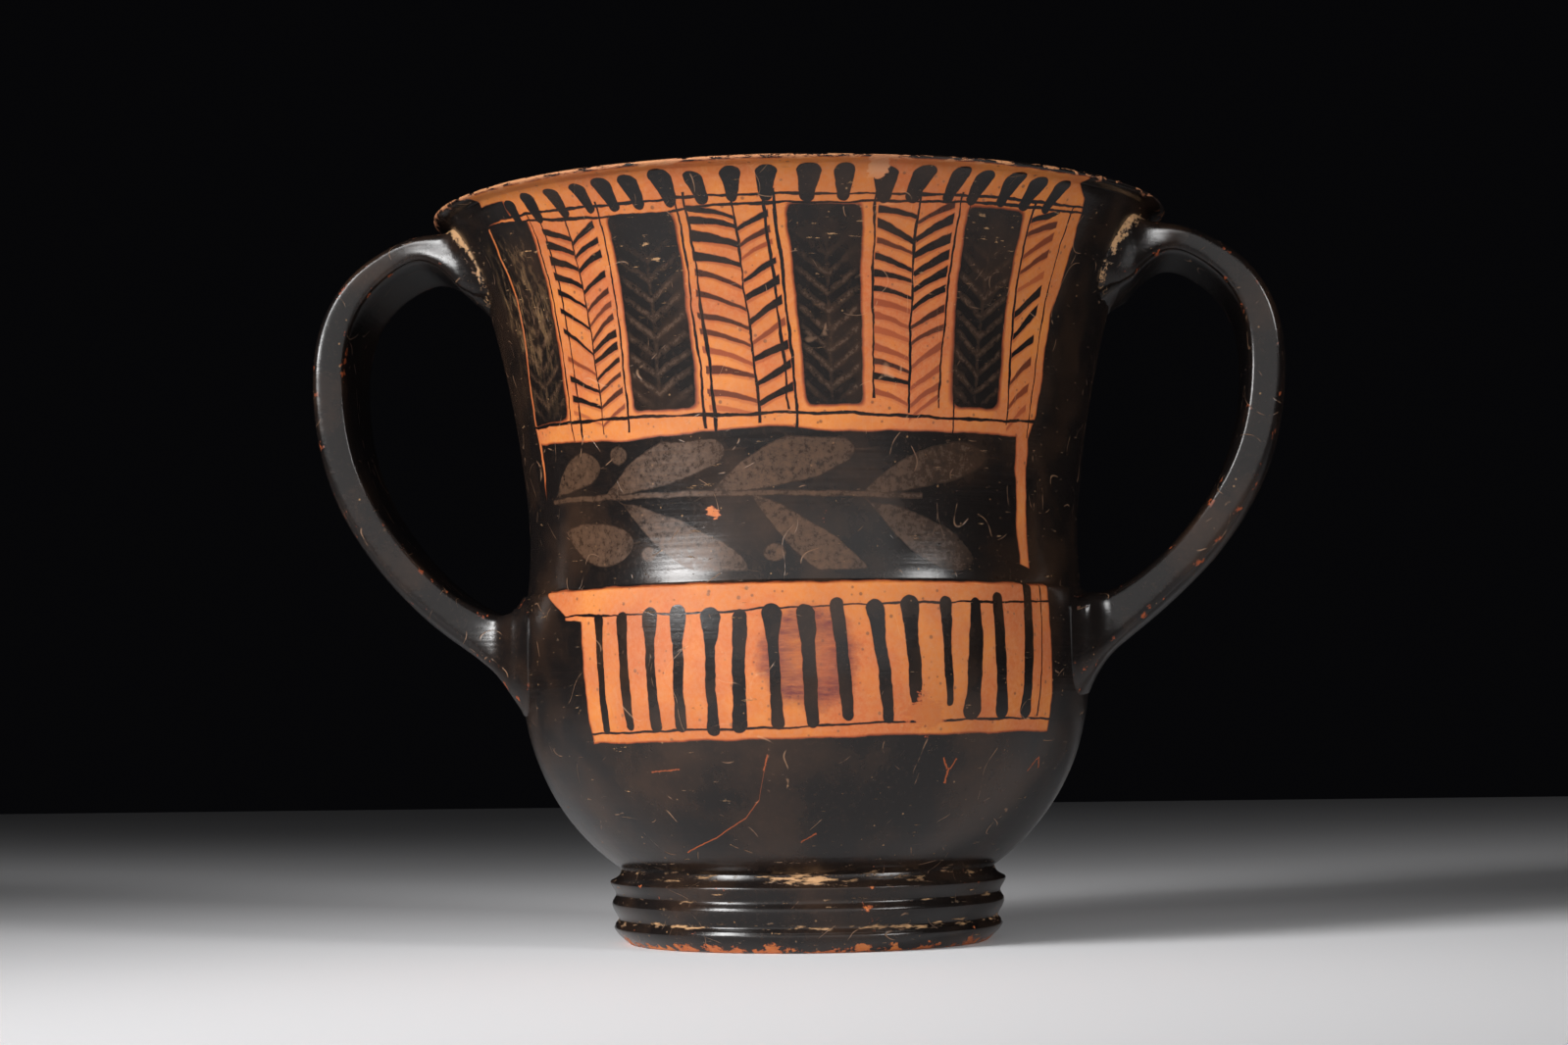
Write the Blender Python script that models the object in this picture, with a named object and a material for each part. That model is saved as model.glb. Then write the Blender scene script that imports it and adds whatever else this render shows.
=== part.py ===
"""Kantharos: a wheel-thrown drinking cup with a moulded ring foot and two strap handles.

One fired clay body, hollow and open at the mouth. Metres, +Z up.
The front faces -Y, the handles reach along +X and -X, and the origin is the centre of the
plane that the foot rests on.
"""

import math

import bmesh
import bpy

# Foot, from the resting plane up
REST_INNER_RADIUS = 0.0268
REST_OUTER_RADIUS = 0.0318
BASE_RIDGE_RADIUS = 0.0346
BASE_RIDGE_HEIGHT = 0.0033
BASE_EDGE_BOW = 0.0008
GROOVE_DEPTH = 0.0007
LOWER_GROOVE_RISE = 0.0012
MIDDLE_RIDGE_RADIUS = 0.0351
MIDDLE_BAND_HEIGHT = 0.0027
UPPER_GROOVE_RISE = 0.0016
TOP_RIDGE_RADIUS = 0.0354
TOP_BAND_HEIGHT = 0.0022
CAVETTO_RADIUS = 0.0334
CAVETTO_HEIGHT = 0.0021
CAVETTO_HOLLOW = 0.0006
FOOT_RECESS_DEPTH = 0.0068
FOOT_RECESS_SLOPE = 0.0022
FOOT_RECESS_CORNER = 0.0027
FOOT_RECESS_DOME = 0.0008

# Bowl, from the foot to the shoulder
BELLY_RADIUS = 0.0510
BOWL_HEIGHT = 0.0368
BOWL_FULLNESS = 2.2
BELLY_TO_SHOULDER = 0.0112
SHOULDER_DRAW_IN = 0.0004
SHOULDER_ROUND_HEIGHT = 0.0006
SHOULDER_ROUND_WIDTH = 0.0004
LEDGE_SLOPE = 0.0001

# Neck, from the ledge to the crease under the lip
NECK_WAIST_RADIUS = 0.0492
NECK_BASE_SPREAD = 0.0005
WAIST_RISE = 0.0085
NECK_FLARE_HEIGHT = 0.0564
NECK_FLARE = 0.0133
EARLY_FLARE_SHARE = 0.74
EARLY_FLARE_POWER = 1.6
LATE_FLARE_POWER = 7.0

# Lip
LIP_RADIUS = 0.0660
LIP_HEIGHT = 0.0030
LIP_EDGE_RISE = 0.0013
LIP_EDGE_ROUND = 0.0010
LIP_TOP_WIDTH = 0.0026
MOUTH_EDGE_RISE = 0.0006
MOUTH_WALL = 0.0023

# Walls
NECK_WALL = 0.0038
BOWL_WALL = 0.0043
FLOOR_THICKNESS = 0.0058
FLOOR_FLAT_RADIUS = 0.0140

# Strap handles: the section, thin and domed over the arch, thicker and flatter further down
STRAP_WIDTH = 0.0240
STRAP_ARCH_EDGE = 0.0031
STRAP_ARCH_DOME = 0.0022
STRAP_EDGE = 0.0060
STRAP_DOME = 0.0014
STRAP_CORNER_POWER = 4.5
ROOT_CORNER_POWER = 2.4

# Strap handles: how the ends spread where they join the wall
UPPER_ROOT_THICKNESS = 0.0115
UPPER_ROOT_SPREAD = 0.0030
UPPER_ROOT_SIDE_SPREAD = 0.0060
LOWER_ROOT_THICKNESS = 0.0165
LOWER_ROOT_WIDTH = 0.0310
LOWER_ROOT_SPREAD = 0.0042
ROOT_TURN_LENGTH = 0.0050

# Each handle: its side, how far out the middle of its edge runs, the height of its arch, the
# height of its lower root, the width of its upper root, the slope of its arch down to the back,
# and how far its middle sags
RIGHT_HANDLE = {
    "side": 1.0,
    "reach": 0.0822,
    "arch": 0.1226,
    "root": 0.0545,
    "upper_root_width": 0.0360,
    "lean": 0.0,
    "sag": 0.0,
}
LEFT_HANDLE = {
    "side": -1.0,
    "reach": 0.0839,
    "arch": 0.1238,
    "root": 0.0522,
    "upper_root_width": 0.0320,
    "lean": 0.06,
    "sag": 0.0012,
}

# The strap's path from its upper root to its lower one: how far out it runs, from the wall at 0
# to its full reach at 1, and how high, from the lower root at 0 to the arch at 1
STRAP_PATH = [
    (0.00, 0.955),
    (0.16, 0.990),
    (0.36, 1.000),
    (0.60, 0.970),
    (0.82, 0.910),
    (0.957, 0.820),
    (1.00, 0.700),
    (0.967, 0.535),
    (0.865, 0.385),
    (0.68, 0.240),
    (0.44, 0.122),
    (0.20, 0.045),
    (0.00, 0.000),
]

# Fineness of the mesh
TURN_STEPS = 64
BOWL_STEPS = 9
NECK_STEPS = 9
INNER_NECK_STEPS = 6
INNER_BOWL_STEPS = 7
STRAP_STEPS = 34
STRAP_SECTION_POINTS = 14
STRAP_LOOK_ALONG = 0.01

# How strongly the rings of the mesh gather: the bowl's at the foot, the neck's at the lip, those
# inside at the mouth and at the floor
BOWL_GATHER = 1.2
NECK_GATHER = 1.5
MOUTH_GATHER = 1.8
FLOOR_GATHER = 1.6

# Heights of the stages, each from the one below
LOWER_GROOVE_Z = BASE_RIDGE_HEIGHT + LOWER_GROOVE_RISE
MIDDLE_RIDGE_Z = LOWER_GROOVE_Z + MIDDLE_BAND_HEIGHT
UPPER_GROOVE_Z = MIDDLE_RIDGE_Z + UPPER_GROOVE_RISE
TOP_RIDGE_Z = UPPER_GROOVE_Z + TOP_BAND_HEIGHT
FOOT_TOP_Z = TOP_RIDGE_Z + CAVETTO_HEIGHT
BELLY_Z = FOOT_TOP_Z + BOWL_HEIGHT
SHOULDER_Z = BELLY_Z + BELLY_TO_SHOULDER
LEDGE_Z = SHOULDER_Z + SHOULDER_ROUND_HEIGHT
WAIST_Z = LEDGE_Z + WAIST_RISE
CREASE_Z = WAIST_Z + NECK_FLARE_HEIGHT
RIM_Z = CREASE_Z + LIP_HEIGHT
FLOOR_Z = FOOT_RECESS_DEPTH + FLOOR_THICKNESS

SHOULDER_RADIUS = BELLY_RADIUS - SHOULDER_DRAW_IN
NECK_BASE_RADIUS = NECK_WAIST_RADIUS + NECK_BASE_SPREAD
CREASE_RADIUS = NECK_WAIST_RADIUS + NECK_FLARE


def clear_scene():
    """Remove every object, so that the model starts from nothing."""
    for thing in list(bpy.data.objects):
        bpy.data.objects.remove(thing, do_unlink=True)


def bowed(start, end, bow, steps):
    """Points after start up to end on a shallow bow that stands out by bow at its middle."""
    run = end[0] - start[0]
    rise = end[1] - start[1]
    length = math.hypot(run, rise)
    points = []
    for step in range(1, steps + 1):
        share = step / steps
        offset = 4.0 * bow * share * (1.0 - share) / length
        points.append((start[0] + run * share + rise * offset, start[1] + rise * share - run * offset))
    return points


def bowl_curve(z, radius, low_z, low_radius):
    """Radius at height z of a full curve that is upright at the belly and narrows to low_radius."""
    end_share = (1.0 - (low_radius / radius) ** BOWL_FULLNESS) ** (1.0 / BOWL_FULLNESS)
    depth = (BELLY_Z - low_z) / end_share
    share = max(0.0, (BELLY_Z - z) / depth)
    return radius * max(0.0, 1.0 - share ** BOWL_FULLNESS) ** (1.0 / BOWL_FULLNESS)


def neck_radius(z):
    """Outer radius of the neck at height z, slender at the waist and flaring to the lip."""
    if z < WAIST_Z:
        return NECK_WAIST_RADIUS + NECK_BASE_SPREAD * ((WAIST_Z - z) / WAIST_RISE) ** 2
    share = min(1.0, (z - WAIST_Z) / NECK_FLARE_HEIGHT)
    early = EARLY_FLARE_SHARE * share ** EARLY_FLARE_POWER
    late = (1.0 - EARLY_FLARE_SHARE) * share ** LATE_FLARE_POWER
    return NECK_WAIST_RADIUS + NECK_FLARE * (early + late)


def outer_radius(z):
    """Outer radius of bowl, shoulder or neck at height z."""
    if z >= LEDGE_Z:
        return neck_radius(z)
    if z >= BELLY_Z:
        return BELLY_RADIUS - SHOULDER_DRAW_IN * ((z - BELLY_Z) / (LEDGE_Z - BELLY_Z)) ** 2
    return bowl_curve(z, BELLY_RADIUS, FOOT_TOP_Z, CAVETTO_RADIUS)


def wall_at(z):
    """Thickness of the wall at height z."""
    return NECK_WALL if z >= LEDGE_Z else BOWL_WALL


def foot_profile():
    """Outer side of the foot, from the resting ring up to the hollow under the bowl."""
    base_ridge = (BASE_RIDGE_RADIUS, BASE_RIDGE_HEIGHT)
    points = [(REST_INNER_RADIUS, 0.0), (REST_OUTER_RADIUS, 0.0)]
    points += bowed(points[-1], base_ridge, BASE_EDGE_BOW, 4)
    points.append((BASE_RIDGE_RADIUS - GROOVE_DEPTH, LOWER_GROOVE_Z))
    points.append((MIDDLE_RIDGE_RADIUS, MIDDLE_RIDGE_Z))
    points.append((MIDDLE_RIDGE_RADIUS - GROOVE_DEPTH, UPPER_GROOVE_Z))
    points.append((TOP_RIDGE_RADIUS, TOP_RIDGE_Z))
    points += bowed(points[-1], (CAVETTO_RADIUS, FOOT_TOP_Z), -CAVETTO_HOLLOW, 3)
    return points


def outer_wall_profile():
    """Outer side of bowl, shoulder and neck, from above the foot up to the crease."""
    points = []
    for step in range(1, BOWL_STEPS + 1):
        z = BELLY_Z - BOWL_HEIGHT * math.cos(0.5 * math.pi * step / BOWL_STEPS) ** BOWL_GATHER
        points.append((outer_radius(z), z))
    middle_z = 0.5 * (BELLY_Z + SHOULDER_Z)
    points.append((outer_radius(middle_z), middle_z))
    points.append((SHOULDER_RADIUS, SHOULDER_Z))
    points.append((SHOULDER_RADIUS - SHOULDER_ROUND_WIDTH, LEDGE_Z))
    points.append((NECK_BASE_RADIUS, LEDGE_Z + LEDGE_SLOPE))
    points.append((NECK_WAIST_RADIUS, WAIST_Z))
    for step in range(1, NECK_STEPS + 1):
        z = CREASE_Z - NECK_FLARE_HEIGHT * (1.0 - step / NECK_STEPS) ** NECK_GATHER
        points.append((neck_radius(z), z))
    return points


def lip_profile():
    """Rounded lip, from the crease over the rim to the inner side of the mouth."""
    edge_z = CREASE_Z + LIP_EDGE_RISE
    points = []
    for degrees in (0.0, 45.0, 90.0):
        angle = math.radians(degrees)
        radius = LIP_RADIUS - LIP_EDGE_ROUND * (1.0 - math.cos(angle))
        points.append((radius, edge_z + (RIM_Z - edge_z) * math.sin(angle)))
    points.append((points[-1][0] - LIP_TOP_WIDTH, RIM_Z))
    points.append((CREASE_RADIUS - MOUTH_WALL, CREASE_Z + MOUTH_EDGE_RISE))
    return points


def inner_profile():
    """Inner side of the cup, from below the mouth down to the middle of its floor."""
    points = []
    for step in range(INNER_NECK_STEPS):
        z = CREASE_Z - (CREASE_Z - WAIST_Z) * ((step + 0.5) / INNER_NECK_STEPS) ** MOUTH_GATHER
        points.append((neck_radius(z) - NECK_WALL, z))
    points.append((NECK_WAIST_RADIUS - NECK_WALL, LEDGE_Z))
    inner_belly = BELLY_RADIUS - BOWL_WALL
    for step in range(INNER_BOWL_STEPS):
        turn = 0.5 * math.pi * step / INNER_BOWL_STEPS
        z = FLOOR_Z + (BELLY_Z - FLOOR_Z) * math.cos(turn) ** FLOOR_GATHER
        points.append((bowl_curve(z, inner_belly, FLOOR_Z, FLOOR_FLAT_RADIUS), z))
    points.append((FLOOR_FLAT_RADIUS, FLOOR_Z))
    points.append((0.0, FLOOR_Z))
    return points


def underside_profile():
    """Recess under the foot, from its middle out to the resting ring."""
    wall_top = REST_INNER_RADIUS - FOOT_RECESS_SLOPE
    dome_radius = wall_top - FOOT_RECESS_CORNER
    points = []
    for share in (0.0, 0.5, 1.0):
        points.append((dome_radius * share, FOOT_RECESS_DEPTH - FOOT_RECESS_DOME * (1.0 - share ** 2)))
    for degrees in (45.0, 90.0):
        angle = math.radians(degrees)
        radius = dome_radius + FOOT_RECESS_CORNER * math.sin(angle)
        points.append((radius, FOOT_RECESS_DEPTH - FOOT_RECESS_CORNER * (1.0 - math.cos(angle))))
    return points


def turned_body():
    """The cup without its handles, turned about Z from its closed half outline."""
    outer_side = underside_profile() + foot_profile() + outer_wall_profile()
    outline = outer_side + lip_profile() + inner_profile()
    mesh = bmesh.new()
    corners = [mesh.verts.new((radius, 0.0, z)) for radius, z in outline]
    edges = [mesh.edges.new(pair) for pair in zip(corners, corners[1:])]
    bmesh.ops.spin(mesh, geom=corners + edges, cent=(0.0, 0.0, 0.0), axis=(0.0, 0.0, 1.0),
                   angle=2.0 * math.pi, steps=TURN_STEPS, use_merge=True)
    bmesh.ops.remove_doubles(mesh, verts=mesh.verts, dist=0.00001)
    bmesh.ops.recalc_face_normals(mesh, faces=mesh.faces)
    return mesh


def through_points(points, share):
    """Point at share (0 to 1) along a smooth curve through all the points."""
    spans = len(points) - 1
    place = min(share * spans, spans - 1e-9)
    index = int(place)
    t = place - index
    before = points[max(index - 1, 0)]
    start = points[index]
    end = points[index + 1]
    after = points[min(index + 2, spans)]
    result = []
    for a, b, c, d in zip(before, start, end, after):
        result.append(0.5 * (2.0 * b + (c - a) * t + (2.0 * a - 5.0 * b + 4.0 * c - d) * t ** 2
                             + (3.0 * b - a - 3.0 * c + d) * t ** 3))
    return result


def strap_path(handle):
    """Points (x, z) that the middle of a strap's edge runs through, from upper to lower root."""
    points = []
    for out, up in STRAP_PATH:
        sag = 4.0 * handle["sag"] * up * (1.0 - up)
        z = mixed(handle["root"], handle["arch"], up) - sag
        points.append((mixed(wall_middle(z), handle["reach"], out), z))
    return points


def eased(share):
    """0 at 0 and 1 at 1, with level ends."""
    share = max(0.0, min(1.0, share))
    return share * share * (3.0 - 2.0 * share)


def mixed(first, second, share):
    """The value at share of the way from first to second."""
    return first + (second - first) * share


def strap_size(handle, share, from_wall):
    """Width, edge thickness, dome and corner power of a strap at share along its path."""
    down = eased(2.0 * share)
    width = STRAP_WIDTH
    edge = mixed(STRAP_ARCH_EDGE, STRAP_EDGE, down)
    dome = mixed(STRAP_ARCH_DOME, STRAP_DOME, down)
    if share < 0.5:
        near = math.exp(-from_wall / UPPER_ROOT_SPREAD)
        width = mixed(width, handle["upper_root_width"], math.exp(-from_wall / UPPER_ROOT_SIDE_SPREAD))
        edge = mixed(edge, UPPER_ROOT_THICKNESS, near)
    else:
        near = math.exp(-from_wall / LOWER_ROOT_SPREAD)
        width = mixed(width, LOWER_ROOT_WIDTH, near)
        edge = mixed(edge, LOWER_ROOT_THICKNESS, near)
    return width, edge, dome * (1.0 - near), mixed(STRAP_CORNER_POWER, ROOT_CORNER_POWER, near)


def section_point(index, corner_power):
    """Corner of a strap's section, as shares of half its width and half its edge thickness."""
    angle = 2.0 * math.pi * (index + 0.5) / STRAP_SECTION_POINTS
    power = 2.0 / corner_power
    across = math.copysign(abs(math.cos(angle)) ** power, math.cos(angle))
    through = math.copysign(abs(math.sin(angle)) ** power, math.sin(angle))
    return across, through


def strap_inward(path, share, from_wall):
    """Direction (x, z) from a strap's outer side to its inner side, along the wall at the roots."""
    back = through_points(path, max(share - STRAP_LOOK_ALONG, 0.0))
    ahead = through_points(path, min(share + STRAP_LOOK_ALONG, 1.0))
    along_wall = (0.0, -1.0) if share < 0.5 else (0.0, 1.0)
    near = math.exp(-from_wall / ROOT_TURN_LENGTH)
    length = math.hypot(ahead[0] - back[0], ahead[1] - back[1])
    x = mixed((ahead[1] - back[1]) / length, along_wall[0], near)
    z = mixed(-(ahead[0] - back[0]) / length, along_wall[1], near)
    return x / math.hypot(x, z), z / math.hypot(x, z)


def wall_middle(z):
    """Radius of the middle of the cup's wall at height z."""
    return outer_radius(min(z, CREASE_Z)) - 0.5 * wall_at(z)


def kept_outside(x, y, z, in_wall):
    """The same place, drawn to the middle of the wall if it is inside that or belongs in it."""
    radius = wall_middle(z)
    if in_wall or math.hypot(x, y) < radius:
        x = math.copysign(math.sqrt(max(radius ** 2 - y ** 2, 0.0)), x)
    return x, y, z


def strap_ring(mesh, handle, path, share):
    """Corners of a strap's section at share along its path."""
    x, z = through_points(path, share)
    from_wall = max(0.0, x - outer_radius(min(z, CREASE_Z)))
    inward = strap_inward(path, share, from_wall)
    width, edge, dome, corner_power = strap_size(handle, share, from_wall)
    lean = handle["lean"] * (1.0 - eased(2.0 * share)) * (1.0 - math.exp(-from_wall / ROOT_TURN_LENGTH))
    ring = []
    for index in range(STRAP_SECTION_POINTS):
        across, through = section_point(index, corner_power)
        offset = 0.5 * edge * through - dome * (1.0 - across ** 2) * max(0.0, -through)
        y = 0.5 * width * across
        corner_x = handle["side"] * (x + inward[0] * offset)
        corner_z = z + inward[1] * offset - lean * (y + 0.5 * STRAP_WIDTH)
        ring.append(mesh.verts.new(kept_outside(corner_x, y, corner_z, share in (0.0, 1.0))))
    return ring


def strap(handle):
    """One strap handle, closed, with both ends sunk to the middle of the cup's wall."""
    mesh = bmesh.new()
    path = strap_path(handle)
    rings = [strap_ring(mesh, handle, path, step / STRAP_STEPS) for step in range(STRAP_STEPS + 1)]
    for ring, following in zip(rings, rings[1:]):
        for index in range(STRAP_SECTION_POINTS):
            beside = (index + 1) % STRAP_SECTION_POINTS
            mesh.faces.new((ring[index], ring[beside], following[beside], following[index]))
    for ring in (rings[0], rings[-1]):
        middle_z = sum(corner.co.z for corner in ring) / len(ring)
        middle = mesh.verts.new(kept_outside(handle["side"], 0.0, middle_z, True))
        for index in range(STRAP_SECTION_POINTS):
            mesh.faces.new((ring[index], ring[(index + 1) % STRAP_SECTION_POINTS], middle))
    bmesh.ops.recalc_face_normals(mesh, faces=mesh.faces)
    return mesh


def made_object(name, mesh):
    """Put a finished mesh into the scene as an object of the given name."""
    data = bpy.data.meshes.new(name)
    mesh.to_mesh(data)
    mesh.free()
    thing = bpy.data.objects.new(name, data)
    bpy.context.collection.objects.link(thing)
    return thing


def black_glaze():
    """Glossy black slip glaze."""
    material = bpy.data.materials.new("black_glaze")
    material.use_nodes = True
    shader = material.node_tree.nodes["Principled BSDF"]
    shader.inputs["Base Color"].default_value = (0.018, 0.014, 0.012, 1.0)
    shader.inputs["Roughness"].default_value = 0.3
    shader.inputs["Metallic"].default_value = 0.0
    return material


def build_kantharos():
    """Join the turned cup and its two straps into one closed body."""
    cup = made_object("kantharos", turned_body())
    cup.data.materials.append(black_glaze())
    for handle in (RIGHT_HANDLE, LEFT_HANDLE):
        guide = made_object("strap_guide", strap(handle))
        guide.hide_render = True
        guide.display_type = "WIRE"
        union = cup.modifiers.new("join_strap", "BOOLEAN")
        union.operation = "UNION"
        union.solver = "EXACT"
        union.object = guide
    cup.data.shade_smooth()
    cup.data.set_sharp_from_angle(angle=math.radians(35.0))
    return cup


clear_scene()
build_kantharos()
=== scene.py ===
"""Kantharos: the finish of a wheel-thrown, black-glazed drinking cup with painted bands.

The turned cup and its two strap handles are modelled finely over the plain solid, and glazed.
Lengths in the lists are millimetres, angles degrees. Z is up, the painted front faces -Y, and
the handles reach along +X and -X.
"""

import math
from functools import reduce

import bmesh
import bpy
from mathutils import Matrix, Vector
from mathutils.kdtree import KDTree


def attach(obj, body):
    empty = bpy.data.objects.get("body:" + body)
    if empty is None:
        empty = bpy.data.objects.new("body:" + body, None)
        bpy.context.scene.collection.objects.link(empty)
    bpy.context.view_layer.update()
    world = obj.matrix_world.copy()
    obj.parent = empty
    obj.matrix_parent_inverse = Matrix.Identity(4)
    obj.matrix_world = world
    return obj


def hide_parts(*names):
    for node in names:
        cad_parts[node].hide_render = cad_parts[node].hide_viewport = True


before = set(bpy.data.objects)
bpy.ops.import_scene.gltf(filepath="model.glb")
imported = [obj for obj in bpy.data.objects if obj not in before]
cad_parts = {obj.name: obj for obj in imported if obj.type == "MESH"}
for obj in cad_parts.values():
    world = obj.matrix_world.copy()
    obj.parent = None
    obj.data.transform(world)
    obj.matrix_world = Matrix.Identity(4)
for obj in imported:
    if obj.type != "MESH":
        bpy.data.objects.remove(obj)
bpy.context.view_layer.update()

MM = 0.001

# Heights and radii of the cup
FOOT_TOP = 13.1
FOOT_TOP_RADIUS = 33.4
BELLY = 49.9
BELLY_RADIUS = 51.0
BOWL_FULLNESS = 2.2
SHOULDER_DRAW_IN = 0.4
LEDGE = 61.7
WAIST = 70.2
WAIST_RADIUS = 49.2
NECK_BASE_SPREAD = 0.5
CREASE = 127.7
NECK_FLARE = 14.1
EARLY_FLARE_SHARE = 0.74
EARLY_FLARE_POWER = 1.6
LATE_FLARE_POWER = 7.0
NECK_WALL = 3.8
BOWL_WALL = 4.3
FLOOR = 12.6
FLOOR_RADIUS = 14.0
TURN_STEPS = 360

# Half outlines of the underside, foot, neck's ledge, lip and inner floor, each point (radius, height)
UNDERSIDE = [
    (0.0, 6.0), (6.0, 6.05), (12.0, 6.25), (18.0, 6.55), (21.9, 6.8), (23.2, 6.5), (24.2, 5.6),
    (24.6, 4.1), (25.7, 2.0), (26.5, 0.5), (26.9, 0.08), (27.3, 0.0),
]
FOOT = [
    (31.2, 0.0), (31.9, 0.12), (32.6, 0.7), (33.7, 1.7), (34.4, 2.6), (34.6, 3.3), (34.4, 3.9),
    (33.95, 4.4), (34.15, 4.9), (34.75, 5.9), (35.05, 6.7), (35.1, 7.2), (34.95, 7.8), (34.45, 8.6),
    (34.5, 9.1), (35.0, 9.9), (35.35, 10.6), (35.4, 11.0), (35.2, 11.4), (34.4, 11.8), (33.75, 12.3),
    (33.4, 13.1),
]
NECK_LEDGE = [(50.62, 61.1), (50.5, 61.42), (50.25, 61.62), (49.95, 61.72), (49.75, 61.85), (49.66, 62.2)]
LIP = [
    (63.3, 127.7), (63.75, 127.85), (64.5, 128.0), (65.2, 128.2), (65.7, 128.5), (65.95, 128.85),
    (65.8, 129.2), (65.4, 129.43), (64.9, 129.56), (64.2, 129.59), (63.3, 129.54), (62.4, 129.3),
    (61.6, 128.75), (60.9, 128.0), (60.2, 127.1),
]
INNER_FLOOR = [
    (FLOOR_RADIUS, FLOOR), (11.0, FLOOR - 0.1), (7.0, FLOOR), (3.5, FLOOR + 0.15), (0.0, FLOOR + 0.25),
]

# Strap handles. The path runs from the upper root to the lower one, as shares of reach and rise
STRAP_PATH = [
    (0.0, 0.955), (0.16, 0.99), (0.36, 1.0), (0.6, 0.97), (0.82, 0.91), (0.957, 0.82), (1.0, 0.7),
    (0.967, 0.535), (0.865, 0.385), (0.68, 0.24), (0.44, 0.122), (0.2, 0.045), (0.0, 0.0),
]
STRAP_STATIONS = 56
CLOSER_AT_ROOTS = 0.12
STATION_STEP = 3.0
STRAP_WIDTH = 24.0
ARCH_EDGE = 3.1
ARCH_DOME = 2.2
SIDE_EDGE = 6.0
SIDE_DOME = 1.4
UPPER_ROOT_DEPTH = 11.5
UPPER_ROOT_SPREAD = 3.0
UPPER_ROOT_SIDE_SPREAD = 6.0
LOWER_ROOT_DEPTH = 13.5
LOWER_ROOT_WIDTH = 31.0
LOWER_ROOT_SPREAD = 4.2
ROOT_TURN = 5.0
UPPER_FILLET = 3.5
LOWER_FILLET = 6.0
ROOT_LENGTH = 7.0
# The section's corners, as shares of half its width and half its edge, inner side first
STRAP_SECTION = [
    (-0.94, 1.0), (-0.5, 1.0), (0.0, 1.0), (0.5, 1.0), (0.94, 1.0), (1.0, 0.72), (1.0, 0.0),
    (1.0, -0.72), (0.94, -1.0), (0.5, -1.0), (0.0, -1.0), (-0.5, -1.0), (-0.94, -1.0), (-1.0, -0.72),
    (-1.0, 0.0), (-1.0, 0.72),
]
RIGHT_HANDLE = {"side": 1.0, "reach": 82.2, "arch": 122.6, "root": 54.5, "upper_width": 36.0,
                "lean": 0.0, "sag": 0.0}
LEFT_HANDLE = {"side": -1.0, "reach": 83.9, "arch": 123.8, "root": 52.2, "upper_width": 32.0,
               "lean": 0.06, "sag": 1.2}

# Colours of clay, glaze, wear, floor and room
CLAY_LIGHT = (0.49, 0.150, 0.024)
CLAY_ROSY = (0.42, 0.102, 0.023)
CLAY_DARK = (0.30, 0.062, 0.018)
CLAY_PALE = (0.55, 0.30, 0.165)
THIN_GLAZE = (0.25, 0.048, 0.012)
GLAZE_BLACK = (0.0075, 0.0058, 0.0054)
GLAZE_BROWN = (0.026, 0.0145, 0.0095)
FADED_WHITE = (0.105, 0.055, 0.031)
DEPOSIT = (0.44, 0.25, 0.12)
MISFIRE = (0.11, 0.024, 0.023)
PIT_BROWN = (0.10, 0.035, 0.015)
PALE_PAPER = (0.8, 0.795, 0.81, 1.0)
DIM_ROOM = (0.002, 0.002, 0.0024, 1.0)

# Lamps: name, place, point that it faces, width and height, watts, spread
LAMPS = [
    ("key", (-500.0, -480.0, 365.0), (10.0, -110.0, 0.0), (250.0, 250.0), 0.44, 42.0),
    ("low_key", (-700.0, -650.0, 265.0), (0.0, -20.0, 65.0), (520.0, 80.0), 0.36, 40.0),
    ("side", (700.0, -520.0, 420.0), (-5.0, -10.0, 105.0), (300.0, 300.0), 0.115, 22.0),
    ("front", (60.0, -900.0, 300.0), (0.0, 0.0, 70.0), (1400.0, 700.0), 3.9, 180.0),
]
# The camera stands low before the cup, as the photographer's did
CAMERA_PLACE = (32.722, -535.0, 37.4)
CAMERA_TURN = (93.98298, 0.748189, 3.919007)
CAMERA_LENS = 68.5553
FLOOR_WIDTH = 1920.0


# Shapes

def mixed(first, second, share):
    """The value at share of the way from first to second."""
    return first + (second - first) * share


def eased(share):
    """0 at 0 and 1 at 1, with level ends."""
    share = max(0.0, min(1.0, share))
    return share * share * (3.0 - 2.0 * share)


def through_points(points, share):
    """Point at share, 0 to 1, along a smooth curve through all the points."""
    spans = len(points) - 1
    place = min(max(share, 0.0) * spans, spans - 1e-9)
    index = int(place)
    t = place - index
    corners = zip(points[max(index - 1, 0)], points[index], points[index + 1], points[min(index + 2, spans)])
    return [0.5 * (2.0 * b + (c - a) * t + (2.0 * a - 5.0 * b + 4.0 * c - d) * t ** 2
                   + (3.0 * b - a - 3.0 * c + d) * t ** 3) for a, b, c, d in corners]


def smoothed(points, steps):
    """The same line, drawn with steps points on each of its spans."""
    count = steps * (len(points) - 1)
    return [tuple(through_points(points, step / count)) for step in range(count + 1)]


def bowl_curve(height, radius, low, low_radius):
    """Radius of a full bowl at height, upright at the belly and narrow at its low end."""
    end_share = (1.0 - (low_radius / radius) ** BOWL_FULLNESS) ** (1.0 / BOWL_FULLNESS)
    share = max(0.0, (BELLY - height) / (BELLY - low) * end_share)
    return radius * max(0.0, 1.0 - share ** BOWL_FULLNESS) ** (1.0 / BOWL_FULLNESS)


def neck_radius(height):
    """Outer radius of the neck, slender at the waist and flaring to the lip."""
    if height < WAIST:
        return WAIST_RADIUS + NECK_BASE_SPREAD * ((WAIST - height) / (WAIST - LEDGE)) ** 2
    share = min(1.0, (height - WAIST) / (CREASE - WAIST))
    early = EARLY_FLARE_SHARE * share ** EARLY_FLARE_POWER
    return WAIST_RADIUS + NECK_FLARE * (early + (1.0 - EARLY_FLARE_SHARE) * share ** LATE_FLARE_POWER)


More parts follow.
